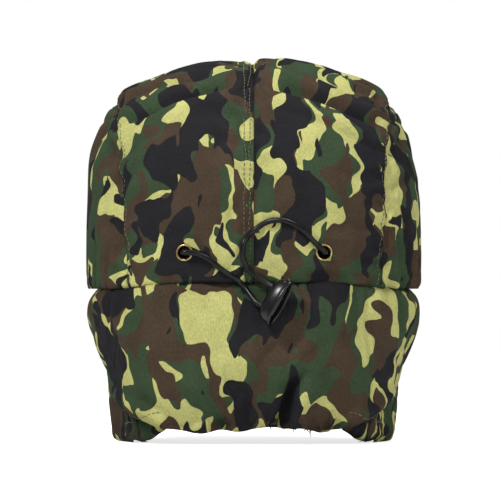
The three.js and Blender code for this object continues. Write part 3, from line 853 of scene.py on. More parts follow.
# ------------------------------------------------------------------ stitches
def stitch_line(path, tree):
    """Short raised stitches along a path, laid on a surface."""
    path = np.asarray(path, float)
    steps = np.r_[0, np.cumsum(np.linalg.norm(np.diff(path, axis=0), axis=1))]
    points, faces = [], []
    sides = 6
    for start in np.arange(0, steps[-1] - STITCH_LENGTH, STITCH_LENGTH + STITCH_GAP):
        ends = []
        for place in (start, start + STITCH_LENGTH):
            raw = Vector([float(np.interp(place, steps, path[:, k])) for k in range(3)])
            near, normal, _, _ = tree.find_nearest(raw)
            ends.append((near, normal))
        along = (ends[1][0] - ends[0][0]).normalized()
        up = ends[0][1]
        across = along.cross(up).normalized()
        first = len(points)
        for share, thick, rise in ((0, 0.35, -0.3), (0.2, 1, 0.7), (0.8, 1, 0.7), (1, 0.35, -0.3)):
            centre = ends[0][0].lerp(ends[1][0], share) + up * (STITCH_LIFT + rise * STITCH_RADIUS)
            for k in range(sides):
                turn = 2 * math.pi * k / sides
                spoke = across * math.cos(turn) + up * math.sin(turn)
                points.append(centre + spoke * STITCH_RADIUS * thick)
        for ring in range(3):
            for k in range(sides):
                a = first + ring * sides + k
                b = first + ring * sides + (k + 1) % sides
                faces.append((a, b, b + sides, a + sides))
        faces.append([first + k for k in reversed(range(sides))])
        faces.append([first + 3 * sides + k for k in range(sides)])
    return [tuple(p) for p in points], faces


def join_parts(parts):
    points, faces = [], []
    for part_points, part_faces in parts:
        start = len(points)
        points += list(part_points)
        faces += [[start + index for index in face] for face in part_faces]
    return points, faces


def add_stitches(name, lines, tree):
    points, faces = join_parts([stitch_line(line, tree) for line in lines])
    stitches = make_object(name, points, faces, MATERIALS["thread"])
    attach(stitches, "crown", "camouflage")


def make_crown_stitches(tree):
    """Two rows on one side of the centre seam, and one row beside each side seam."""
    theta = np.linspace(0.02, np.pi - 0.02, 160)
    shares = [np.full_like(theta, offset / HALF_WIDTH) for offset in CENTRE_STITCHES]
    shares += [sign * (seam_share(theta) - SIDE_STITCH / HALF_WIDTH) for _, sign in SIDES]
    lines = [place_on_crown(theta, share, reach_at(theta, share), CROWN_INSET) for share in shares]
    add_stitches("crown_topstitching", lines, tree)


# ------------------------------------------------------------------ lining, sweatband, channel
def make_lining():
    """Quilted dome over the head, with a skirt that closes the crown off at the brim."""
    points, faces, _, cloth = crown_parts(LINING_INSET, LINING_SIDE_ROWS, LINING_HALF_COLUMNS)
    x, y, z = points.T
    arc = np.arctan2(z - BRIM, MIDDLE_Y - y) * (HEIGHT + HALF_DEPTH) / 2
    channels = [np.abs(np.sin(np.pi * (x + sign * arc) / QUILT_PITCH)) for sign in (-1, 1)]
    puff = QUILT_DEPTH * np.sqrt(np.minimum(*channels)) * smoothstep(z - BRIM, 2, 12)
    inwards = points - [0, MIDDLE_Y, BRIM + 30]
    inwards /= np.linalg.norm(inwards, axis=1, keepdims=True)
    dome = make_object("lining_dome", points - inwards * puff[:, None], faces, MATERIALS["lining"])
    set_fabric_uv(dome, cloth)
    thicken(dome, 0.8)
    skirt = [(7.0, 17.4), (3.0, 15.0), (1.6, 12.0), (1.2, 8.8)]
    rings = np.stack([crown_outline(height, inset, 180) for height, inset in skirt])
    rings = np.concatenate([rings, rings[:, :1]], axis=1)
    hem = make_object("lining_skirt", rings.reshape(-1, 3), grid_faces(*rings.shape[:2]), MATERIALS["lining"])
    thicken(hem, 0.8)
    attach(dome, "crown", "lining", "crown_lining", "crown_padding")
    attach(hem, "crown", "lining")


def closed_ring(name, profile, count, material, ripple=0.0):
    """A ring round the crown: a closed profile of (height, inset) carried along its outline."""
    rings = []
    for height, inset in profile:
        line = crown_outline(height, inset, count)
        out = line - [0, MIDDLE_Y, BRIM + height]
        out /= np.linalg.norm(out, axis=1, keepdims=True)
        wave = ripple * wander(line * [1, 1, 0.25], 6, 21)
        rings.append(line + out * wave[:, None])
    points = np.concatenate(rings)
    quads = facing_out(points, ring_faces(len(profile), count, closed=True))
    piece = make_object(name, points, quads, material)
    subdivide(piece, 1)
    return piece


def make_sweatband():
    profile = [(0.8, 19.6), (7, 19.3), (14, 19.2), (21, 19.3), (27.4, 19.6),
               (27.4, 21.2), (21, 21.7), (14, 21.9), (7, 21.7), (0.8, 21.2)]
    band = closed_ring("sweatband_cloth", profile, 260, MATERIALS["lining"], 0.9)
    attach(band, "crown", "lining", "sweatband")


def make_channel_tape():
    profile = [(CORD_RISE - 7, 12.3), (CORD_RISE, 12.2), (CORD_RISE + 7, 12.3),
               (CORD_RISE + 7, 13.0), (CORD_RISE, 13.1), (CORD_RISE - 7, 13.0)]
    tape = closed_ring("channel_tape_cloth", profile, 200, MATERIALS["tape"])
    attach(tape, "crown", "tape", "cord_channel_tape")


# ------------------------------------------------------------------ flaps
def make_slab(name, outer, inner, cloth, material, hem=None):
    """A closed padded slab. cloth holds the outer grid's place on the flat fabric."""
    rows, columns = outer.shape[:2]
    points = np.concatenate([outer.reshape(-1, 3), inner.reshape(-1, 3)])
    faces = facing_out(points, slab_faces(rows, columns))
    back = cloth.copy()
    if hem is not None:
        back[..., 1] = 2 * hem[None, :] + FLAP_THICKNESS - cloth[..., 1]
    piece = make_object(name, points, faces, material)
    set_fabric_uv_by_vertex(piece, np.concatenate([cloth.reshape(-1, 2), back.reshape(-1, 2)]))
    subdivide(piece, 1)
    return piece


def settle(grid, pinned, **cloth):
    """Runs the cloth simulation on a grid and returns the grid as it settled."""
    outward = grid_faces(*grid.shape[:2])
    middle = np.array([0, MIDDLE_Y, BRIM / 2])
    points = grid.reshape(-1, 3)
    centres = points[outward].mean(axis=1)
    corners = [points[outward[:, k]] for k in range(3)]
    normals = np.cross(corners[1] - corners[0], corners[2] - corners[1])
    if np.sum(normals * (centres - middle) * [1, 1, 0]) < 0:
        outward = outward[:, ::-1]
    sheet = make_object("settling", points, outward)
    simulate_cloth(sheet, pinned.ravel(), **cloth)
    settled = points_of(sheet).reshape(grid.shape)
    bpy.data.objects.remove(sheet)
    return settled


def top_roll(depth):
    """Inset of a flap's top, which curves in to the brim seam and is tucked up behind the crown."""
    return 5.6 * edge_roll(depth, 12) + np.clip(-depth, 0, TUCK)


def border_of(rows, columns):
    border = np.zeros((rows, columns), dtype=bool)
    border[[0, -1], :] = True
    border[:, [0, -1]] = True
    return border


def rippled(grid, size, height, seed):
    return height * wander(grid.reshape(-1, 3), size, seed).reshape(grid.shape[:2])


# Neck flap ----------------------------------------------------------
NECK_ROWS = 58
NECK_COLUMNS = 211
DEEP_FOLD = ((8.0, 91.0), (31.0, 54.0))   # its ends: distance from the middle, depth
TOGGLE_ROOM = 4.6                         # how far the flap is pressed in beneath the toggle
HEM_GATHER_PITCH = 8.0
BRIM_GATHER_PITCH = 8.5


def neck_place(turn, depth, inset):
    """turn is 0 in the middle of the back and -1 or 1 at the ear flaps."""
    half_depth = band_half_depth(depth) - inset
    limit = np.arccos(((MIDDLE_Y - EAR_BACK + 0.3) / half_depth) ** (BRIM_POWER / 2))
    angle = turn * limit
    x = (band_half_width(depth) - inset) * signed_power(np.sin(angle), 2 / WIDTH_POWER)
    y = MIDDLE_Y - half_depth * np.cos(angle) ** (2 / BRIM_POWER)
    arch = brim_arch(x, y) * (1 - smoothstep(depth, 0, 30))
    return np.stack([x, y, BRIM - depth + arch], axis=-1)


def even_turns(columns):
    """Turns that space the neck flap's columns evenly along its arc, and the arc length at each."""
    dense = np.linspace(-1, 1, 1201)
    path = neck_place(dense, np.full_like(dense, 50.0), 0.0)
    steps = np.r_[0, np.cumsum(np.linalg.norm(np.diff(path, axis=0), axis=1))]
    arc = np.linspace(0, steps[-1], columns)
    return np.interp(arc, steps, dense), arc - steps[-1] / 2


def neck_hem(x):
    """The hem's depth: gathered up in the middle, lobed between gathers, full at the corners."""
    hem = 89.5 + 3.5 * bell(x, -36, 12) + 2.5 * bell(x, -10, 9) + 3 * bell(x, 46, 8)
    return hem + 8.0 * smoothstep(np.abs(x), 58, 78)


def deep_fold(x, depth):
    """The slanting fold on the right: a wavy groove between two lobes."""
    start, end = np.array(DEEP_FOLD)
    length = np.linalg.norm(end - start)
    along = (end - start) / length
    t = (x - start[0]) * along[0] + (depth - start[1]) * along[1]
    s = (x - start[0]) * along[1] - (depth - start[1]) * along[0] + 3.2 * np.sin(t / 8)
    window = smoothstep(t, -8, 5) * (1 - smoothstep(t, length - 14, length + 6))
    return window * (-10 * bell(s, 0, 3.6) + 5.5 * bell(s, -10, 7) + 4.0 * bell(s, 10, 7))


# Lobes and hollows that run down to the hem: place, height, width.
HEM_LOBES = ((-52, 2.6, 6), (-38, -2.8, 5), (-6, -3.2, 5), (26, 2.2, 6), (46, -3.2, 5))


def neck_relief(x, depth, hem):
    """How far the fabric stands out: gathers, the deep fold and tuck, and the turned-under corners."""
    middle = 1 - smoothstep(np.abs(x), 40, 74)
    relief = 2.5 * bell(depth, 56, 30) * (1 - smoothstep(np.abs(x), 76, 100))
    relief -= 4.0 * middle * smoothstep(depth, 62, 92)
    relief -= TOGGLE_ROOM * bell(x, 16, 18) * bell(depth, 12, 14)
    relief += deep_fold(x, depth)
    relief -= 8.0 * bell(x, -22, 4.2) * bell(depth, 86, 5.5)
    for place, height, width in HEM_LOBES:
        relief += height * bell(x + 0.10 * (depth - 90), place, width) * smoothstep(depth, 58, 88)
    ruffle = 1.7 * np.sin(2 * np.pi * (x + 1.5 * np.sin(x / 4)) / HEM_GATHER_PITCH)
    ruffle = ruffle * smoothstep(x, 6, 12) * (1 - smoothstep(x, 54, 62))
    relief += ruffle * smoothstep(depth - hem, -11, -4)
    reach = np.abs(x)
    overhang = lerp(92, 72, (reach - 58) / 33)
    corner = smoothstep(reach, 52, 62)
    relief -= 5.0 * corner * smoothstep(depth - overhang, -3.0, 5.0)
    relief += corner * (3.6 * bell(depth - overhang, -8, 6) - 4.0 * bell(depth - overhang, 2, 2.6))
    relief -= 1.0 * bell(x, -86, 1.4) + 1.0 * bell(x, 72, 1.4)
    gathers = np.sin(2 * np.pi * (reach + 0.05 * depth + 2 * np.sin(reach / 5)) / BRIM_GATHER_PITCH)
    relief += 1.3 * gathers * smoothstep(reach, 66, 80) * bell(depth, 11, 12)
    return relief


def make_neck_flap():
    turns, arc = even_turns(NECK_COLUMNS)
    x = neck_place(turns, np.full(NECK_COLUMNS, 80.0), 0.0)[:, 0]
    hem = neck_hem(x)
    share = np.linspace(0, 1, NECK_ROWS)[:, None]
    depth = lerp(-TUCK, hem[None, :], share)
    flat = neck_place(turns[None, :], depth, 0.0)
    inset = top_roll(depth) + HEM_ROLL * edge_roll(hem - depth, HEM_RADIUS)
    for end in (arc[0], arc[-1]):
        inset = inset + END_ROLL * edge_roll(np.abs(arc - end)[None, :], END_RADIUS)
    normals = grid_normals(flat)
    relief = neck_relief(flat[..., 0], depth, hem[None, :]) * (1 - bell(depth, 0, 4))
    relief = relief + rippled(flat * [1, 1, 0.45], 15, 1.7, 4) + rippled(flat * [1, 1, 0.7], 32, 2.6, 5)
    outer = flat + normals * (relief - inset)[..., None]
    more = smoothstep(depth, 50, 90) * (1 - smoothstep(np.abs(flat[..., 0]), 50, 80))
    outer = settle(outer, border_of(NECK_ROWS, NECK_COLUMNS), frames=18, cap=6.0,
                   more=more.ravel(), growth_more=0.11, **FLAP_CLOTH)
    thinner = 3.0 * edge_roll(hem - depth, HEM_RADIUS)
    inner = flat - normals * (FLAP_THICKNESS - thinner)[..., None]
    cloth = np.stack([np.broadcast_to(arc, depth.shape), depth], axis=-1)
    piece = make_slab("neck_flap_fabric", outer, inner, cloth, MATERIALS["flap"], hem)
    attach(piece, "crown", "camouflage", "neck_flap_shell", "neck_flap_padding", "neck_elastic")
    fur_share = np.linspace(0, 1, 24)[:, None]
    clear = 8.0 - 6.3 * smoothstep(x, 4, 12) * (1 - smoothstep(x, 52, 62))
    fur_depth = lerp(3.0, (hem - clear)[None, ::3], fur_share)
    base = neck_place(turns[None, ::3], fur_depth, FUR_INSET)
    fur = make_fur("neck_flap_fur_pile", base, -grid_normals(base), 31)
    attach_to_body(fur, "crown")
    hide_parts("neck_flap_fur")
    tree = tree_of(piece)
    make_hem_stitches(tree, turns, hem)
    return tree


def make_hem_stitches(tree, turns, hem):
    """Topstitching above the hem at the flap's two corners, where it isn't gathered."""
    path = neck_place(turns, hem - HEM_STITCH, -4.0)
    ends = np.abs(path[:, 0]) > 60
    corners = [path[ends & (path[:, 0] * sign > 0) & (path[:, 1] < EAR_BACK - 4)] for _, sign in SIDES]
    add_stitches("neck_flap_topstitching", corners, tree)


# Ear flaps ----------------------------------------------------------
EAR_ROWS = 44
EAR_COLUMNS = 52
EAR_GATHER_PITCH = 9.5


def ear_place(mirror, y, depth, inset):
    half_depth = band_half_depth(depth) - inset
    reach = (1 - (np.abs(y - MIDDLE_Y) / half_depth) ** BRIM_POWER) ** (1 / WIDTH_POWER)
    x = mirror * (band_half_width(depth) - inset) * reach
    return np.stack([x, y + 0 * depth, BRIM - depth + 0 * y], axis=-1)


def ear_grid(mirror, rows, columns, inset, trim, top):
    """Grid over an ear flap: rows run down from the brim and columns forwards from its rear edge."""
    share = np.linspace(0, 1, rows)[:, None]
    along = np.linspace(0, 1, columns)[None, :]
    hem = BRIM - trim - 12 * smoothstep(along, 0.72, 1.0) ** 2
    depth = lerp(top, hem, share)
    front = EAR_FRONT - trim - EAR_FRONT_TAPER * (depth / BRIM) ** 3
    y = lerp(EAR_BACK + 0.3, front, along)
    return ear_place(mirror, y, depth, inset), y, depth, hem, front


def make_ear_flap(side, mirror):
    flat, y, depth, hem, front = ear_grid(mirror, EAR_ROWS, EAR_COLUMNS, 0.0, 0.0, -TUCK)
    out = mirror * grid_normals(flat)
    from_rear = y - EAR_BACK
    inset = 2.0 + top_roll(depth) + FREE_ROLL * edge_roll(hem - depth, FREE_RADIUS)
    inset = inset + END_ROLL * edge_roll(from_rear, END_RADIUS)
    inset = inset + FREE_ROLL * edge_roll(front - y, FREE_RADIUS)
    puff = 2.2 * np.sin(np.pi * np.clip(from_rear / (front - EAR_BACK), 0, 1)) * np.sin(np.pi * depth / hem)
    pucker = 0.9 * np.sin(2 * np.pi * (depth + 3 * np.sin(depth / 7)) / EAR_GATHER_PITCH)
    pucker = pucker * bell(from_rear, 5, 6)
    gather = 1.3 * np.sin(2 * np.pi * (y + 2 * np.sin(y / 6)) / EAR_GATHER_PITCH) * bell(depth, 10, 11)
    tuck = 5.0 * smoothstep(depth, 71, 77) * (1 - smoothstep(from_rear, 8, 34))
    relief = puff + pucker + gather - tuck
    relief = relief + rippled(flat * [1, 1, 0.5], 16, 1.1, 6 + mirror) + rippled(flat, 36, 1.5, 9 + mirror)
    outer = flat + out * (relief * (1 - bell(depth, 0, 4)) - inset)[..., None]
    outer = settle(outer, border_of(EAR_ROWS, EAR_COLUMNS), frames=16, cap=5.0, **FLAP_CLOTH)
    thinner = 4.0 * edge_roll(hem - depth, FREE_RADIUS) + 4.0 * edge_roll(front - y, FREE_RADIUS)
    inner = flat - out * (FLAP_THICKNESS - np.minimum(thinner, 5.5))[..., None]
    cloth = np.stack([mirror * (y - MIDDLE_Y), depth], axis=-1)
    fabric = make_slab(f"ear_flap_{side}_fabric", outer, inner, cloth, MATERIALS["ear"])
    base = ear_grid(mirror, 24, 30, FUR_INSET, 1.5, 3.0)[0]
    fur = make_fur(f"ear_flap_{side}_fur_pile", base, -mirror * grid_normals(base), 33 + mirror)
    for piece in (fabric, fur):
        blend_from_crown(piece)
    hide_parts(f"ear_flap_{side}_shell", f"ear_flap_{side}_padding")
    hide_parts(f"ear_flap_{side}_fur")


# Front flap ---------------------------------------------------------
FRONT_ROWS = 36
FRONT_COLUMNS = 76
FRONT_INNER = 3.5          # how far the flap's two faces stand off the crown
FRONT_OUTER = 10.5
FRONT_THINNING = 4.0


def front_grid(rows, columns, inset, lowest=0.0):
    """Grid over the turned-up flap: rows run down from its top edge, columns towards the left."""
    across = np.linspace(1, -1, columns)[None, :]
    share_up = np.linspace(1, lowest, rows)[:, None]
    rise = FRONT_RISE * (1 - 0.34 * np.abs(across) ** 4)
    theta = np.pi - 0.01 - share_up * rise
    share = across * FRONT_HALF_SHARE * seam_share(theta)
    height = share_up * rise * HALF_DEPTH
    side = (1 - np.abs(across)) * FRONT_HALF_SHARE * SEAM_AT_BRIM
    full = rise * HALF_DEPTH
    return place_on_crown(theta, share, reach_at(theta, share), inset), height, full - height, side, share


def make_front_flap():
    near, height, from_top, from_side, share = front_grid(FRONT_ROWS, FRONT_COLUMNS, -0.9)
    out = grid_normals(near)
    edges = edge_roll(from_top, FREE_RADIUS) + edge_roll(from_side, FREE_RADIUS)
    inner = near + out * np.minimum(FRONT_INNER, FRONT_INNER * edges)[..., None]
    wrinkle = rippled(near, 18, 1.0, 12)
    face = FRONT_OUTER - np.minimum(FRONT_THINNING, FRONT_THINNING * edges)
    face = face - 2.5 * edge_roll(height, FREE_RADIUS)
    outer = near + out * (face + wrinkle)[..., None]
    cloth = np.stack([share * HALF_WIDTH, height], axis=-1)
    fabric = make_slab("front_flap_fabric", outer, inner, cloth, MATERIALS["ear"])
    base = front_grid(24, 46, -9.4, 0.17)[0]
    fur = make_fur("front_flap_fur_pile", base, grid_normals(base), 37)
    for piece in (fabric, fur):
        blend_from_crown(piece)
    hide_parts("front_flap_shell", "front_flap_padding")
    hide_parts("front_flap_fur")


# Fur ----------------------------------------------------------------
def sample_grid(grid, rows, columns):
    """Bilinear values of a grid at fractional row and column places."""
    r = np.clip(rows.astype(int), 0, grid.shape[0] - 2)
    c = np.clip(columns.astype(int), 0, grid.shape[1] - 2)
    fr, fc = (rows - r)[:, None], (columns - c)[:, None]
    top = lerp(grid[r, c], grid[r, c + 1], fc)
    return lerp(top, lerp(grid[r + 1, c], grid[r + 1, c + 1], fc), fr)


def make_tufts(base, out, spacing, random):
    """Curved three-sided locks of fur that stand on a grid and lean down and past its edges."""
    rows, columns = base.shape[:2]
    size = np.linalg.norm(np.diff(base, axis=0), axis=2).sum(axis=0).mean()
    size *= np.linalg.norm(np.diff(base, axis=1), axis=2).sum(axis=1).mean()
    count = int(size / spacing ** 2)
    row = random.uniform(0, rows - 1.001, count)
    column = random.uniform(0, columns - 1.001, count)
    root = sample_grid(base, row, column)
    up = sample_grid(out, row, column)
    down = sample_grid(np.gradient(base, axis=0), row, column)
    along = sample_grid(np.gradient(base, axis=1), row, column)
    down /= np.linalg.norm(down, axis=1, keepdims=True)
    along /= np.linalg.norm(along, axis=1, keepdims=True)
    past_end = 0.5 * smoothstep(row, rows - 3, rows - 1)
    past_side = 0.9 * (smoothstep(column, columns - 3, columns - 1) - smoothstep(-column, -2, 0))
    lean = down * (0.55 + past_end)[:, None] + along * past_side[:, None]
    lean += 0.45 * random.normal(size=(count, 3))
    length = FUR_LENGTH * random.uniform(0.65, 1.1, count)
    radius = random.uniform(0.4, 0.8, count)
    across = np.cross(up, down)
    points = []
    for share, thick in ((0, 1.0), (0.55, 0.75), (1, 0)):
        centre = root + up * (length * (0.85 * share - 0.3 * share ** 2))[:, None]
        centre += lean * (length * 0.55 * share ** 1.5)[:, None]
        sides = 3 if thick else 1
        for k in range(sides):
            turn = 2 * np.pi * k / 3
            spoke = across * math.cos(turn) + down * math.sin(turn)
            points.append(centre + spoke * (radius * thick)[:, None])
    points = np.stack(points, axis=1)
    points[..., 2] = np.maximum(points[..., 2], 0.3)
    first = 7 * np.arange(count)[:, None]
    faces = []
    for k in range(3):
        after = (k + 1) % 3
        faces += (first + [k + 3, after + 3, after, k]).tolist()
        faces += (first + [6, after + 3, k + 3]).tolist()
    faces += (first + [0, 1, 2]).tolist()
    return points.reshape(-1, 3), faces


def make_fur(name, base, out, seed):
    """A backing slab with locks of pile on it."""
    random = np.random.default_rng(seed)
    top = base + out * (FUR_BASE + rippled(base, 9, 0.9, seed))[..., None]
    slab = np.concatenate([top.reshape(-1, 3), base.reshape(-1, 3)])
    faces = facing_out(slab, slab_faces(*base.shape[:2]))
    points, quads = join_parts([(slab, faces.tolist()), make_tufts(top - out, out, FUR_SPACING, random)])
    fur = make_object(name, points, quads, MATERIALS["fur"])
    return fur


# ------------------------------------------------------------------ eyelets
def revolve(profile, place, axis, segments):
    """A ring with its profile of (radius, height) turned about an axis through a place."""
    axis = np.asarray(axis, float)
    across = np.cross(axis, [0, 0, 1.0])
    across /= np.linalg.norm(across)
    other = np.cross(axis, across)
    turn = 2 * np.pi * np.arange(segments) / segments
    spokes = np.cos(turn)[:, None] * across + np.sin(turn)[:, None] * other
    profile = np.array(profile, float)
    points = place + profile[:, None, :1] * spokes[None] + profile[:, None, 1:] * axis
    points = points.reshape(-1, 3)
    return points, facing_out(points, ring_faces(len(profile), segments, closed=True))


def rounded(centre, width, height, start, end, count):
    """Profile points on part of an ellipse, from one angle to another in degrees."""
    angle = np.radians(np.linspace(start, end, count))
    return [(centre[0] + width * math.cos(a), centre[1] + height * math.sin(a)) for a in angle]


def make_eyelets(seats):
    """A rolled brass rim with its barrel, and a washer that it is set into behind the fabric."""
    middle = (EYELET_BORE + EYELET_RADIUS) / 2
    half = (EYELET_RADIUS - EYELET_BORE) / 2
    rim = rounded((middle, 0.25), half, 1.0, -25, 180, 15)
    barrel = EYELET_BORE + 0.45
    rim += [(EYELET_BORE, -1.2), (EYELET_BORE, -3.0), (barrel, -3.0), (barrel, -0.4), (middle, -0.15)]
    washer = rounded((middle + 0.25, -2.3), half - 0.35, 0.45, 0, 330, 12)
    for (side, _), (place, out) in zip(SIDES, seats):
        for name, profile in (("eyelet", rim), ("eyelet_washer", washer)):
            points, quads = revolve(profile, place, out, 64)
            ring = make_object(f"{name}_{side}_brass", points, quads, MATERIALS["brass"])
            attach(ring, "crown", "brass", f"{name}_{side}")


# ------------------------------------------------------------------ toggle
TOGGLE_LONG = np.array([math.sin(TOGGLE_LEAN), 0, math.cos(TOGGLE_LEAN)])
TOGGLE_PULL = np.array([math.cos(TOGGLE_LEAN), 0, -math.sin(TOGGLE_LEAN)])
TOGGLE_OUT = TOGGLE_PULL * math.cos(TOGGLE_FACING) - np.array([0, math.sin(TOGGLE_FACING), 0])
TOGGLE_SHORT = np.cross(TOGGLE_OUT, TOGGLE_LONG)


def oval_loft(rings, segments):
    """A closed solid through ovals: distance from the closed end, half width and half length."""
    turn = 2 * np.pi * np.arange(segments) / segments
    points = []
    for reach, half_width, half_length in rings:
        ring = half_width * np.cos(turn)[:, None] * TOGGLE_SHORT
        ring = ring + half_length * np.sin(turn)[:, None] * TOGGLE_LONG
        points.append(TOGGLE_END + reach * TOGGLE_OUT + ring)
    points = np.concatenate(points)
    faces = tube_faces(len(rings), segments)
    if signed_volume(points - TOGGLE_END, ring_faces(len(rings), segments)) < 0:
        faces = [face[::-1] for face in faces]
    return points, faces


def make_toggle():
    bell_rings = [
        (0.9, 1.6, 6.6), (0.1, 2.4, 8.4), (0.0, 3.1, 9.6), (0.35, 3.9, 11.0), (1.2, 4.8, 12.5),
        (2.6, 5.6, 13.8), (4.6, 6.15, 14.7), (6.8, 6.45, 15.2), (8.2, 6.6, 15.45), (8.9, 6.95, 15.8),
        (9.5, 7.15, 16.0), (10.1, 7.1, 15.95), (10.5, 6.75, 15.6), (10.5, 6.2, 15.1),
        (10.1, 5.8, 14.75), (9.2, 5.65, 14.6), (7.0, 5.5, 14.3), (4.6, 5.2, 13.8), (3.2, 4.7, 12.9),
        (2.5, 3.9, 11.4),
    ]
    insert_rings = [
        (5.2, 4.6, 12.9), (7.0, 4.95, 13.4), (7.5, 4.8, 13.3), (7.6, 4.4, 12.9), (7.4, 4.05, 12.5),
        (6.2, 3.8, 12.1),
    ]
    for name, node, rings in (
        ("toggle_bell", "toggle_shell", bell_rings), ("toggle_plug", "toggle_insert", insert_rings),
    ):
        points, faces = oval_loft(rings, 72)
        piece = make_object(name, points, faces, MATERIALS["plastic"])
        attach(piece, "toggle", "plastic", node)


# ------------------------------------------------------------------ cord
def spline(path, step):
    """Points about one step apart on a centripetal Catmull-Rom curve through a path."""
    path = np.asarray(path, float)
    ends = [2 * path[0] - path[1], 2 * path[-1] - path[-2]]
    path = np.concatenate([ends[:1], path, ends[1:]])
    points = []
    for i in range(1, len(path) - 2):
        p = path[i - 1:i + 3]
        knots = np.r_[0, np.cumsum(np.sqrt(np.linalg.norm(np.diff(p, axis=0), axis=1)))]
        count = max(2, int(np.linalg.norm(p[2] - p[1]) / step))
        for t in np.linspace(knots[1], knots[2], count, endpoint=False):
            level = list(p)
            for order in range(1, 4):
                nearer = []
                for k in range(4 - order):
                    low, high = (k, k + order) if order < 3 else (1, 2)
                    share = (t - knots[low]) / (knots[high] - knots[low])
                    nearer.append(lerp(level[k], level[k + 1], share))
                level = nearer
            points.append(level[0])
    points.append(path[-2])
    return np.array(points)


def sweep(path, radius, sides):
    """A round tube along a path, with rounded ends, carried without twist."""
    tangents = np.gradient(path, axis=0)
    tangents /= np.linalg.norm(tangents, axis=1, keepdims=True)
    across = np.array([0, 0, 1.0])
    turn = 2 * np.pi * np.arange(sides) / sides
    rings = []
    for centre, tangent in zip(path, tangents):
        across = across - tangent * (across @ tangent)
        across /= np.linalg.norm(across)
        other = np.cross(tangent, across)
        rings.append(centre + radius * (np.cos(turn)[:, None] * across + np.sin(turn)[:, None] * other))
    for end, sign in ((0, -1), (-1, 1)):
        tip = rings[end]
        centre = path[end]
        cap = []
        for share, height in ((0.85, 0.35), (0.45, 0.6)):
            cap.append(lerp(centre, tip, share) + sign * tangents[end] * radius * height)
        rings = [cap[1], cap[0]] + rings if end == 0 else rings + cap
    return np.concatenate(rings), tube_faces(len(rings), sides)


# Places along the strands: distance from the middle, height above the brim, lift off the fabric.
CORD_IN_EYELET = (4.4, 2.0, -0.5, -3.0, -4.6)
CORD_IN_TOGGLE = (-4.5, -1.5, 1.5, 4.3)
LOWER_STRAND = ((-8, 3.5, 2.2), (-20, 12, 0.4), (-29, 19, 0.6), (-37, 22.5, 1.8))
UPPER_STRAND = (
    (39, 29, 1.8), (30, 38, 0.6), (20, 43, 0.3), (10, 43, 0.3), (0, 37, 0.3), (-6, 30, 0.4),
    (-7.4, 22, 0.8), (-4, 13, 1.6),
)


def lay_on_cloth(place, trees, lift):
    """Moves a point along Y until a cord there rests on the crown or on the neck flap."""
    start = Vector((place[0], MIDDLE_Y - 2 * HALF_DEPTH, place[2]))
    hits = [tree.ray_cast(start, Vector((0, 1, 0)))[0] for tree in trees]
    surface = min(hit.y for hit in hits if hit)
    return np.array([place[0], surface - CORD_RADIUS - lift, place[2]])


def make_cord(seats, trees):
    def strand(stations):
        return [lay_on_cloth((x, MIDDLE_Y, BRIM + height), trees, lift) for x, height, lift in stations]

    def through_eyelet(seat):
        return [seat[0] + seat[1] * reach for reach in CORD_IN_EYELET]

    def into_toggle(side):
        hole = TOGGLE_END + side * TOGGLE_HOLE_OFFSET * TOGGLE_LONG
        return [hole + TOGGLE_OUT * reach for reach in CORD_IN_TOGGLE]

    ring = crown_outline(CORD_RISE, CORD_INSET, 90)[::-1]
    start = int(np.argmin(np.linalg.norm(ring - (seats[0][0] + [-6, 6, 0]), axis=1)))
    ring = np.roll(ring, -start, axis=0)
    channel = [p for p in ring if p[1] > MIDDLE_Y or abs(p[0]) > EYELET_X + 5]
    left, right = seats
    path = into_toggle(-1)[::-1] + strand(LOWER_STRAND) + through_eyelet(left) + channel
    path += through_eyelet(right)[::-1] + strand(UPPER_STRAND) + into_toggle(1)
    points, faces = sweep(spline(path, 1.4), CORD_RADIUS, 20)
    cord = make_object("drawcord_elastic", points, faces, MATERIALS["cord"])
    blend_from_crown(cord)
    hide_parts("drawcord")


# ------------------------------------------------------------------ chin straps
def webbing_strip(centre, size, wave, seed):
    """A flat strip in the Y-Z plane with rounded corners and edges and a slight wave."""
    thickness, length, height = size
    rows, columns = 9, 33
    down = np.linspace(1, -1, rows)[:, None]
    along = np.linspace(-1, 1, columns)[None, :]
    squeeze = 1 - 0.10 * np.abs(along) ** 14
    y = centre[1] + along * length / 2 * (1 - 0.02 * np.abs(down) ** 8)
    z = centre[2] + down * height / 2 * squeeze
    bend = wave * np.sin(np.pi * (along + seed) * 1.4) + 0 * down
    half = thickness / 2 * (1 - 0.45 * np.maximum(np.abs(along) ** 16, np.abs(down) ** 8))
    flat = np.stack([centre[0] + bend, y + 0 * z, z + 0 * y], axis=-1)
    return flat + half[..., None] * [1, 0, 0], flat - half[..., None] * [1, 0, 0]


def make_strip(name, node, body, paint, slot, wave, seed):
    low, high = box_mm(node)
    first, second = webbing_strip((low + high) / 2, high - low, wave, seed)
    points = np.concatenate([first.reshape(-1, 3), second.reshape(-1, 3)])
    faces = facing_out(points, slab_faces(*first.shape[:2]))
    strip = make_object(name, points, faces, MATERIALS[paint])
    subdivide(strip, 1)
    attach(strip, body, slot, node)


def make_chin_straps():
    for seed, (side, _) in enumerate(SIDES):
        strap = f"chin_strap_{side}"
        make_strip(f"{strap}_webbing", strap, strap, "strap", "strap", 0.5, seed)
    make_strip("chin_hook_tape", "chin_hook_patch", "chin_strap_left", "hook", "hook", 0.0, 0)
    make_strip("chin_loop_tape", "chin_loop_patch", "chin_strap_right", "loop", "strap", 0.0, 0)


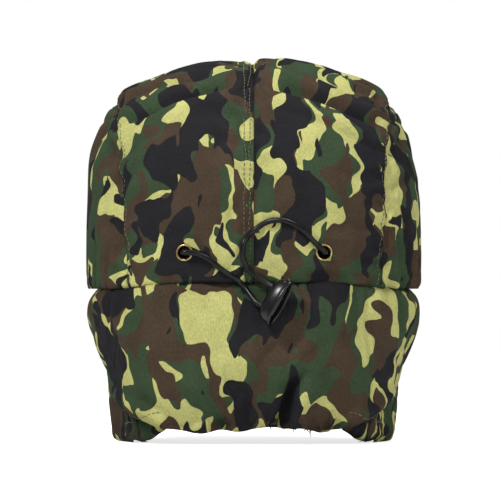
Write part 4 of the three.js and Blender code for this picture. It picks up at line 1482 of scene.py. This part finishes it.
# ------------------------------------------------------------------ assembly
crown_cloth, eyelet_seats = make_crown()
crown_tree = tree_of(crown_cloth)
split_panels(crown_cloth, eyelet_seats)
bpy.data.objects.remove(crown_cloth)
make_crown_stitches(crown_tree)
make_lining()
make_sweatband()
make_channel_tape()
neck_tree = make_neck_flap()
for side, mirror in SIDES:
    make_ear_flap(side, mirror)
make_front_flap()
make_eyelets(eyelet_seats)
make_cord(eyelet_seats, (crown_tree, neck_tree))
make_toggle()
make_chin_straps()


# ------------------------------------------------------------------ studio
SKY_LIGHT = 0.27           # the sky's strength where the camera doesn't see it
LAMP_AIM = Vector((0, 0, 0.12))
LAMPS = (
    ("key", (-0.85, -1.00, 1.30), 0.3, 24),
    ("fill", (1.0, -1.2, 0.5), 0.8, 7),
    ("top", (0.25, 0.1, 1.5), 0.5, 12),
)
CAMERA_AIM = Vector((-0.0025, 0.0, 0.1245))
CAMERA_DISTANCE = 4.0
CAMERA_DROP = 0.02         # how far the camera is below its aim
FIELD = 0.3265             # width of the picture at the aim


def make_studio():
    """A wide pale floor under a white sky, which the camera sees brighter than it lights."""
    reach = 9000.0
    corners = [(-reach, -reach, 0), (reach, -reach, 0), (reach, reach, 0), (-reach, reach, 0)]
    floor = make_object("floor", corners, [(0, 1, 2, 3)], MATERIALS["floor"])
    world = bpy.data.worlds.new("studio")
    bpy.context.scene.world = world
    world.use_nodes = True
    nodes = world.node_tree.nodes
    links = world.node_tree.links
    sky = nodes["Background"]
    sky.inputs["Color"].default_value = (1, 1, 1, 1)
    seen = nodes.new("ShaderNodeLightPath").outputs["Is Camera Ray"]
    strength = nodes.new("ShaderNodeMapRange")
    strength.inputs["To Min"].default_value = SKY_LIGHT
    strength.inputs["To Max"].default_value = 1.0
    links.new(seen, strength.inputs["Value"])
    links.new(strength.outputs["Result"], sky.inputs["Strength"])
    for name, place, size, power in LAMPS:
        lamp = bpy.data.lights.new(name, "AREA")
        lamp.size = size
        lamp.energy = power
        holder = bpy.data.objects.new(name, lamp)
        holder.location = place
        aim = LAMP_AIM - holder.location
        holder.rotation_euler = aim.to_track_quat("-Z", "Y").to_euler()
        bpy.context.scene.collection.objects.link(holder)


def make_camera():
    """A long lens near brim height, aimed slightly up, so that there is hardly any perspective."""
    camera = bpy.data.cameras.new("camera")
    camera.sensor_width = 36
    camera.lens = camera.sensor_width * CAMERA_DISTANCE / FIELD
    camera.clip_end = 20
    holder = bpy.data.objects.new("camera", camera)
    holder.location = CAMERA_AIM + Vector((0, -CAMERA_DISTANCE, -CAMERA_DROP))
    holder.rotation_euler = (CAMERA_AIM - holder.location).to_track_quat("-Z", "Y").to_euler()
    bpy.context.scene.collection.objects.link(holder)
    bpy.context.scene.camera = holder
    bpy.context.scene.view_settings.view_transform = "Standard"


make_studio()
make_camera()
